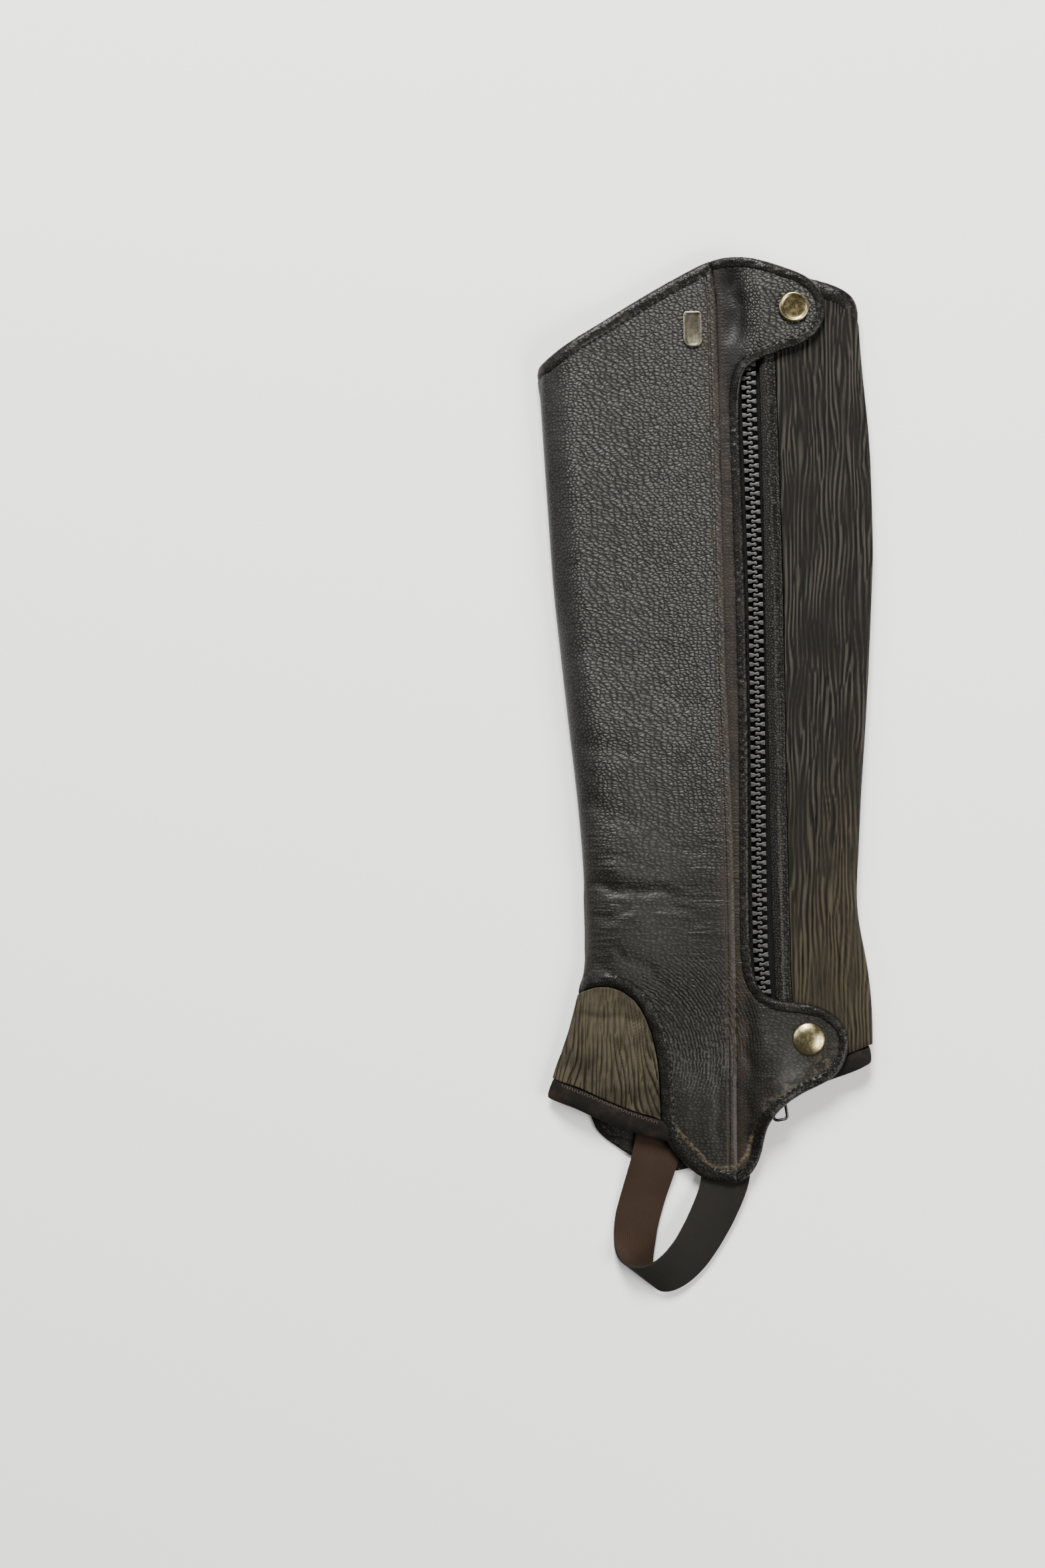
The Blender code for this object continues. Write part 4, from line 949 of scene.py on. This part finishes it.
# Inner edge x, y, z and outer edge x, y, z, from under the near tongue round to the far one
STRAP_EDGES = [
    (-1.0, -178.0, 5.2, 23.0, -178.0, 5.2), (-1.5, -191.0, 3.9, 22.6, -190.6, 3.9),
    (-1.8, -198.7, 3.5, 21.9, -199.0, 3.4), (-4.7, -206.9, 4.7, 18.7, -208.2, 3.0),
    (-9.3, -217.0, 7.2, 13.5, -219.6, 2.4), (-14.5, -226.4, 9.6, 7.0, -230.9, 2.0),
    (-19.7, -232.9, 11.2, 0.2, -240.7, 1.7), (-25.5, -237.8, 12.0, -7.6, -248.1, 2.1),
    (-32.7, -240.0, 11.6, -15.1, -252.2, 2.9), (-39.2, -238.8, 9.8, -20.8, -252.7, 3.1),
    (-43.1, -234.8, 6.0, -24.0, -250.9, 2.2), (-44.4, -229.6, 2.3, -25.2, -246.0, 1.1),
    (-44.6, -222.0, 0.9, -25.4, -236.0, 0.9), (-43.6, -214.0, 0.9, -23.0, -221.0, 0.9),
    (-41.4, -206.0, 0.9, -19.3, -207.6, 1.1), (-38.4, -195.6, 1.8, -15.4, -196.4, 2.7),
    (-35.8, -186.4, 3.0, -12.4, -187.4, 3.1), (-33.4, -174.0, 3.0, -10.2, -176.5, 3.0)]
STRAP_WIDTH, STRAP_THICKNESS = 24.0, 1.4
STRAP_ROWS, STRAP_COLUMNS = 136, 16

# Weave: ribs along the strap and picks across it, read from the piece's own map in metres
strap_weave, given, result = new_group("strap_weave", {"Map": (0.0, 0.0, 0.0)}, ("Height",))
axes = axes_of(given["Map"])
ribs = compute("SINE", times(axes["X"], 5200.0))
picks = compute("SINE", times(axes["Y"], 6800.0))
connect(result, {"Height": plus(times(ribs, 0.5), times(times(ribs, picks), 0.5))})


def elastic_face(name, dark, light):
    made, shader, here = new_material(name, 0.88, specular=0.12)
    weave = place_group(strap_weave, {"Map": source(shader, "UVMap", "UV", uv_map="weave")})
    ground = mix(spots(here, 45.0, 4.0), dark, light)
    # The weave's low parts are painted darker: painted shade in its gaps.
    woven = mix(level(weave["Height"], 0.2, -0.8, 0.0, 0.45), ground, (0.0015, 0.0013, 0.0011))
    finish_material(shader, woven, weave["Height"], 0.5, 0.12)
    return made


def length_along(line):
    """How far along a line each of its points lies."""
    return np.concatenate([[0.0], np.cumsum(np.linalg.norm(np.diff(line, axis=0), axis=1))])


rows = np.array(STRAP_EDGES)
reach = length_along((rows[:, :3] + rows[:, 3:]) / 2.0)
marks = np.linspace(0.0, reach[-1], STRAP_ROWS + 1)
fine = np.column_stack([np.interp(marks, reach, rows[:, k]) for k in range(6)])
for _ in range(10):
    fine[1:-1] = (fine[:-2] + 2.0 * fine[1:-1] + fine[2:]) / 4.0
shares = np.linspace(0.0, 1.0, STRAP_COLUMNS + 1)
strap_points = [Vector(row[:3] + (row[3:] - row[:3]) * share) * MM for row in fine for share in shares]
strap_map = [(share * STRAP_WIDTH * MM, along * MM) for along in marks for share in shares]
width = STRAP_COLUMNS + 1
strap_faces = [(r * width + c, r * width + c + 1, (r + 1) * width + c + 1, (r + 1) * width + c)
               for r in range(STRAP_ROWS) for c in range(STRAP_COLUMNS)]
strap = from_points("stirrup_strap", strap_points, strap_faces)
weave_map = strap.data.uv_layers.new(name="weave")
for loop in strap.data.loops:
    weave_map.data[loop.index].uv = strap_map[loop.vertex_index]
stand_for(strap, "stirrup_elastic", "elastic",
          elastic_face("elastic_outer", (0.0078, 0.0071, 0.006), (0.015, 0.0136, 0.0113)),
          elastic_face("elastic_inner", (0.015, 0.009, 0.0056), (0.033, 0.0195, 0.0125)))
if strap.data.polygons[0].normal.z < 0.0:
    edit_all(strap, lambda: bpy.ops.mesh.flip_normals())
modify(strap, "SOLIDIFY", thickness=STRAP_THICKNESS * MM, offset=0.0, material_offset=1)
modify(strap, "BEVEL", width=0.3 * MM, segments=2, angle_limit=math.radians(50))
bpy.ops.object.shade_smooth()


# Stitches. Black thread holds each binding a little inside its sewn side, a stitch every 3.2 mm, and a
# looser row of rusty thread runs along the top of the gusset's hem.

# A stitch's rings: their place along it, from -0.5 to 0.5, and their share of the thread's thickness
STITCH_RINGS = [(-0.5, 0.4), (-0.3, 0.95), (0.0, 1.1), (0.3, 0.95), (0.5, 0.4)]
THREAD_SIDES = 6

thread_black, shader, here = new_material("black_thread", 0.8, specular=0.15)
twist = spots(here, 2600.0, 2.0)
finish_material(shader, mix(twist, (0.0015, 0.0015, 0.0015), (0.006, 0.0055, 0.005)))
thread_rust, shader, here = new_material("rusty_thread", 0.8)
twist = spots(here, 2600.0, 2.0)
finish_material(shader, mix(twist, (0.022, 0.01, 0.007), (0.05, 0.026, 0.018)))


def marks_along(line, step):
    """Even places along a line in plan, and the way that it runs at each."""
    line = np.asarray(line)
    reach = length_along(line)
    for at in np.arange(step, reach[-1] - step, step):
        here = np.array([np.interp(at, reach, line[:, k]) for k in (0, 1)])
        ahead = np.array([np.interp(at + 0.8, reach, line[:, k]) for k in (0, 1)])
        yield here, (ahead - here) / np.linalg.norm(ahead - here)


def sew(name, line, surface, finish, slant=0.0, length=2.3, step=3.2, thick=0.32):
    """A row of stitches: short round threads that dip at both ends, all in one mesh."""
    points, faces = [], []
    for i, (middle, way) in enumerate(marks_along(line, step)):
        turn = slant * (1.0 if i % 2 else -1.0)
        way = np.array((way[0] * math.cos(turn) - way[1] * math.sin(turn),
                        way[0] * math.sin(turn) + way[1] * math.cos(turn)))
        side = np.array((way[1], -way[0]))
        stitch = []
        for share, size in STITCH_RINGS:
            x, y = middle + way * share * length
            hit = place_on(surface, x, y)
            if hit is None:
                break
            up = hit.z / MM + thick * (0.35 - 2.6 * share * share)
            for k in range(THREAD_SIDES):
                angle = 2.0 * math.pi * k / THREAD_SIDES
                out = side * math.cos(angle) * thick * size
                stitch.append(((x + out[0]) * MM, (y + out[1]) * MM,
                               (up + math.sin(angle) * thick * size) * MM))
        if len(stitch) < len(STITCH_RINGS) * THREAD_SIDES:
            continue
        first, last = len(points), len(points) + len(stitch) - THREAD_SIDES
        points += stitch
        for start in range(first, last, THREAD_SIDES):
            for k in range(THREAD_SIDES):
                a, b = start + k, start + (k + 1) % THREAD_SIDES
                faces.append((a, b, b + THREAD_SIDES, a + THREAD_SIDES))
        faces += [tuple(range(first, first + THREAD_SIDES))[::-1], tuple(range(last, last + THREAD_SIDES))]
    row = from_points(name, points, faces)
    edit_all(row, face_outward)
    bpy.ops.object.shade_smooth()
    cover(row, finish)
    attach(row, "chap")


def inside(line, distance):
    """A line moved sideways, to the right of the way that it runs."""
    ways = np.gradient(line, axis=0)
    ways /= np.linalg.norm(ways, axis=1)[:, None]
    return line + np.column_stack([ways[:, 1], -ways[:, 0]]) * distance


# The cut edges that stitches follow on the near side: x, y
TOP_EDGE = [(-4.7, 248.1), (-28.1, 235.1), (-48.6, 222.1), (-69.1, 209.1), (-77.0, 203.4)]
TAB_EDGE = [
    (9.6, 252.7), (16.7, 252.7), (26.5, 251.1), (36.6, 248.1), (47.0, 244.2), (53.8, 239.7), (57.4, 233.2),
    (58.7, 227.0), (57.4, 220.7), (53.8, 214.8), (46.3, 210.1), (34.9, 206.2), (25.8, 202.6), (19.6, 198.4),
    (16.7, 191.0), (16.6, 176.0), (17.4, 150.6), (19.4, 90.5), (21.0, 25.0), (21.4, -35.0), (21.9, -83.0),
    (23.2, -97.0), (26.8, -104.8), (31.4, -108.4), (38.8, -110.0), (49.9, -111.3), (57.4, -113.3),
    (64.2, -117.5), (68.7, -123.3), (70.0, -129.8), (68.7, -137.6), (64.8, -144.6), (59.0, -149.2),
    (52.2, -152.2), (45.7, -155.5), (38.8, -160.1), (33.6, -164.9), (30.7, -169.6), (29.1, -175.7),
    (27.8, -183.8), (25.5, -190.6), (21.6, -196.1)]
ARCH_EDGE = [
    (8.3, -199.1), (-1.5, -196.5), (-12.2, -187.7), (-18.7, -178.6), (-21.0, -171.8), (-21.6, -157.1),
    (-22.6, -142.2), (-24.2, -132.8), (-26.5, -124.0), (-29.6, -116.5), (-34.0, -109.6), (-39.8, -105.1),
    (-45.7, -102.8), (-51.5, -102.2)]
GUSSET_HEM_TOP = [(-22.5, -169.6), (-36.0, -165.0), (-56.0, -156.6), (-72.0, -150.4)]

edge_bindings = surface_of(*[bpy.data.objects[name] for name in (
    "top_edge_binding", "tab_edge_binding", "arch_edge_binding", "main_panel", "outer_strip")])
for name, edge, inward in (("top_stitches", TOP_EDGE, -5.4), ("tab_stitches", TAB_EDGE, 4.3),
                           ("arch_stitches", ARCH_EDGE, 5.8)):
    sew(name, inside(edge, inward), edge_bindings, thread_black)
sew("facing_stitches", [(x + 2.4, y) for x, y in FACING_LINE[1:]], surface_of(zip_facing), thread_black)
gusset_surface = surface_of(bpy.data.objects["gusset_edge_hem"], instep_gusset)
sew("gusset_hem_stitches", GUSSET_HEM_TOP, gusset_surface, thread_rust, 1.1, 1.8, 1.3, 0.22)
sew("tongue_stitches", TONGUE_LINE[2:8], edge_bindings, thread_rust, 0.0, 2.2, 3.0, 0.26)
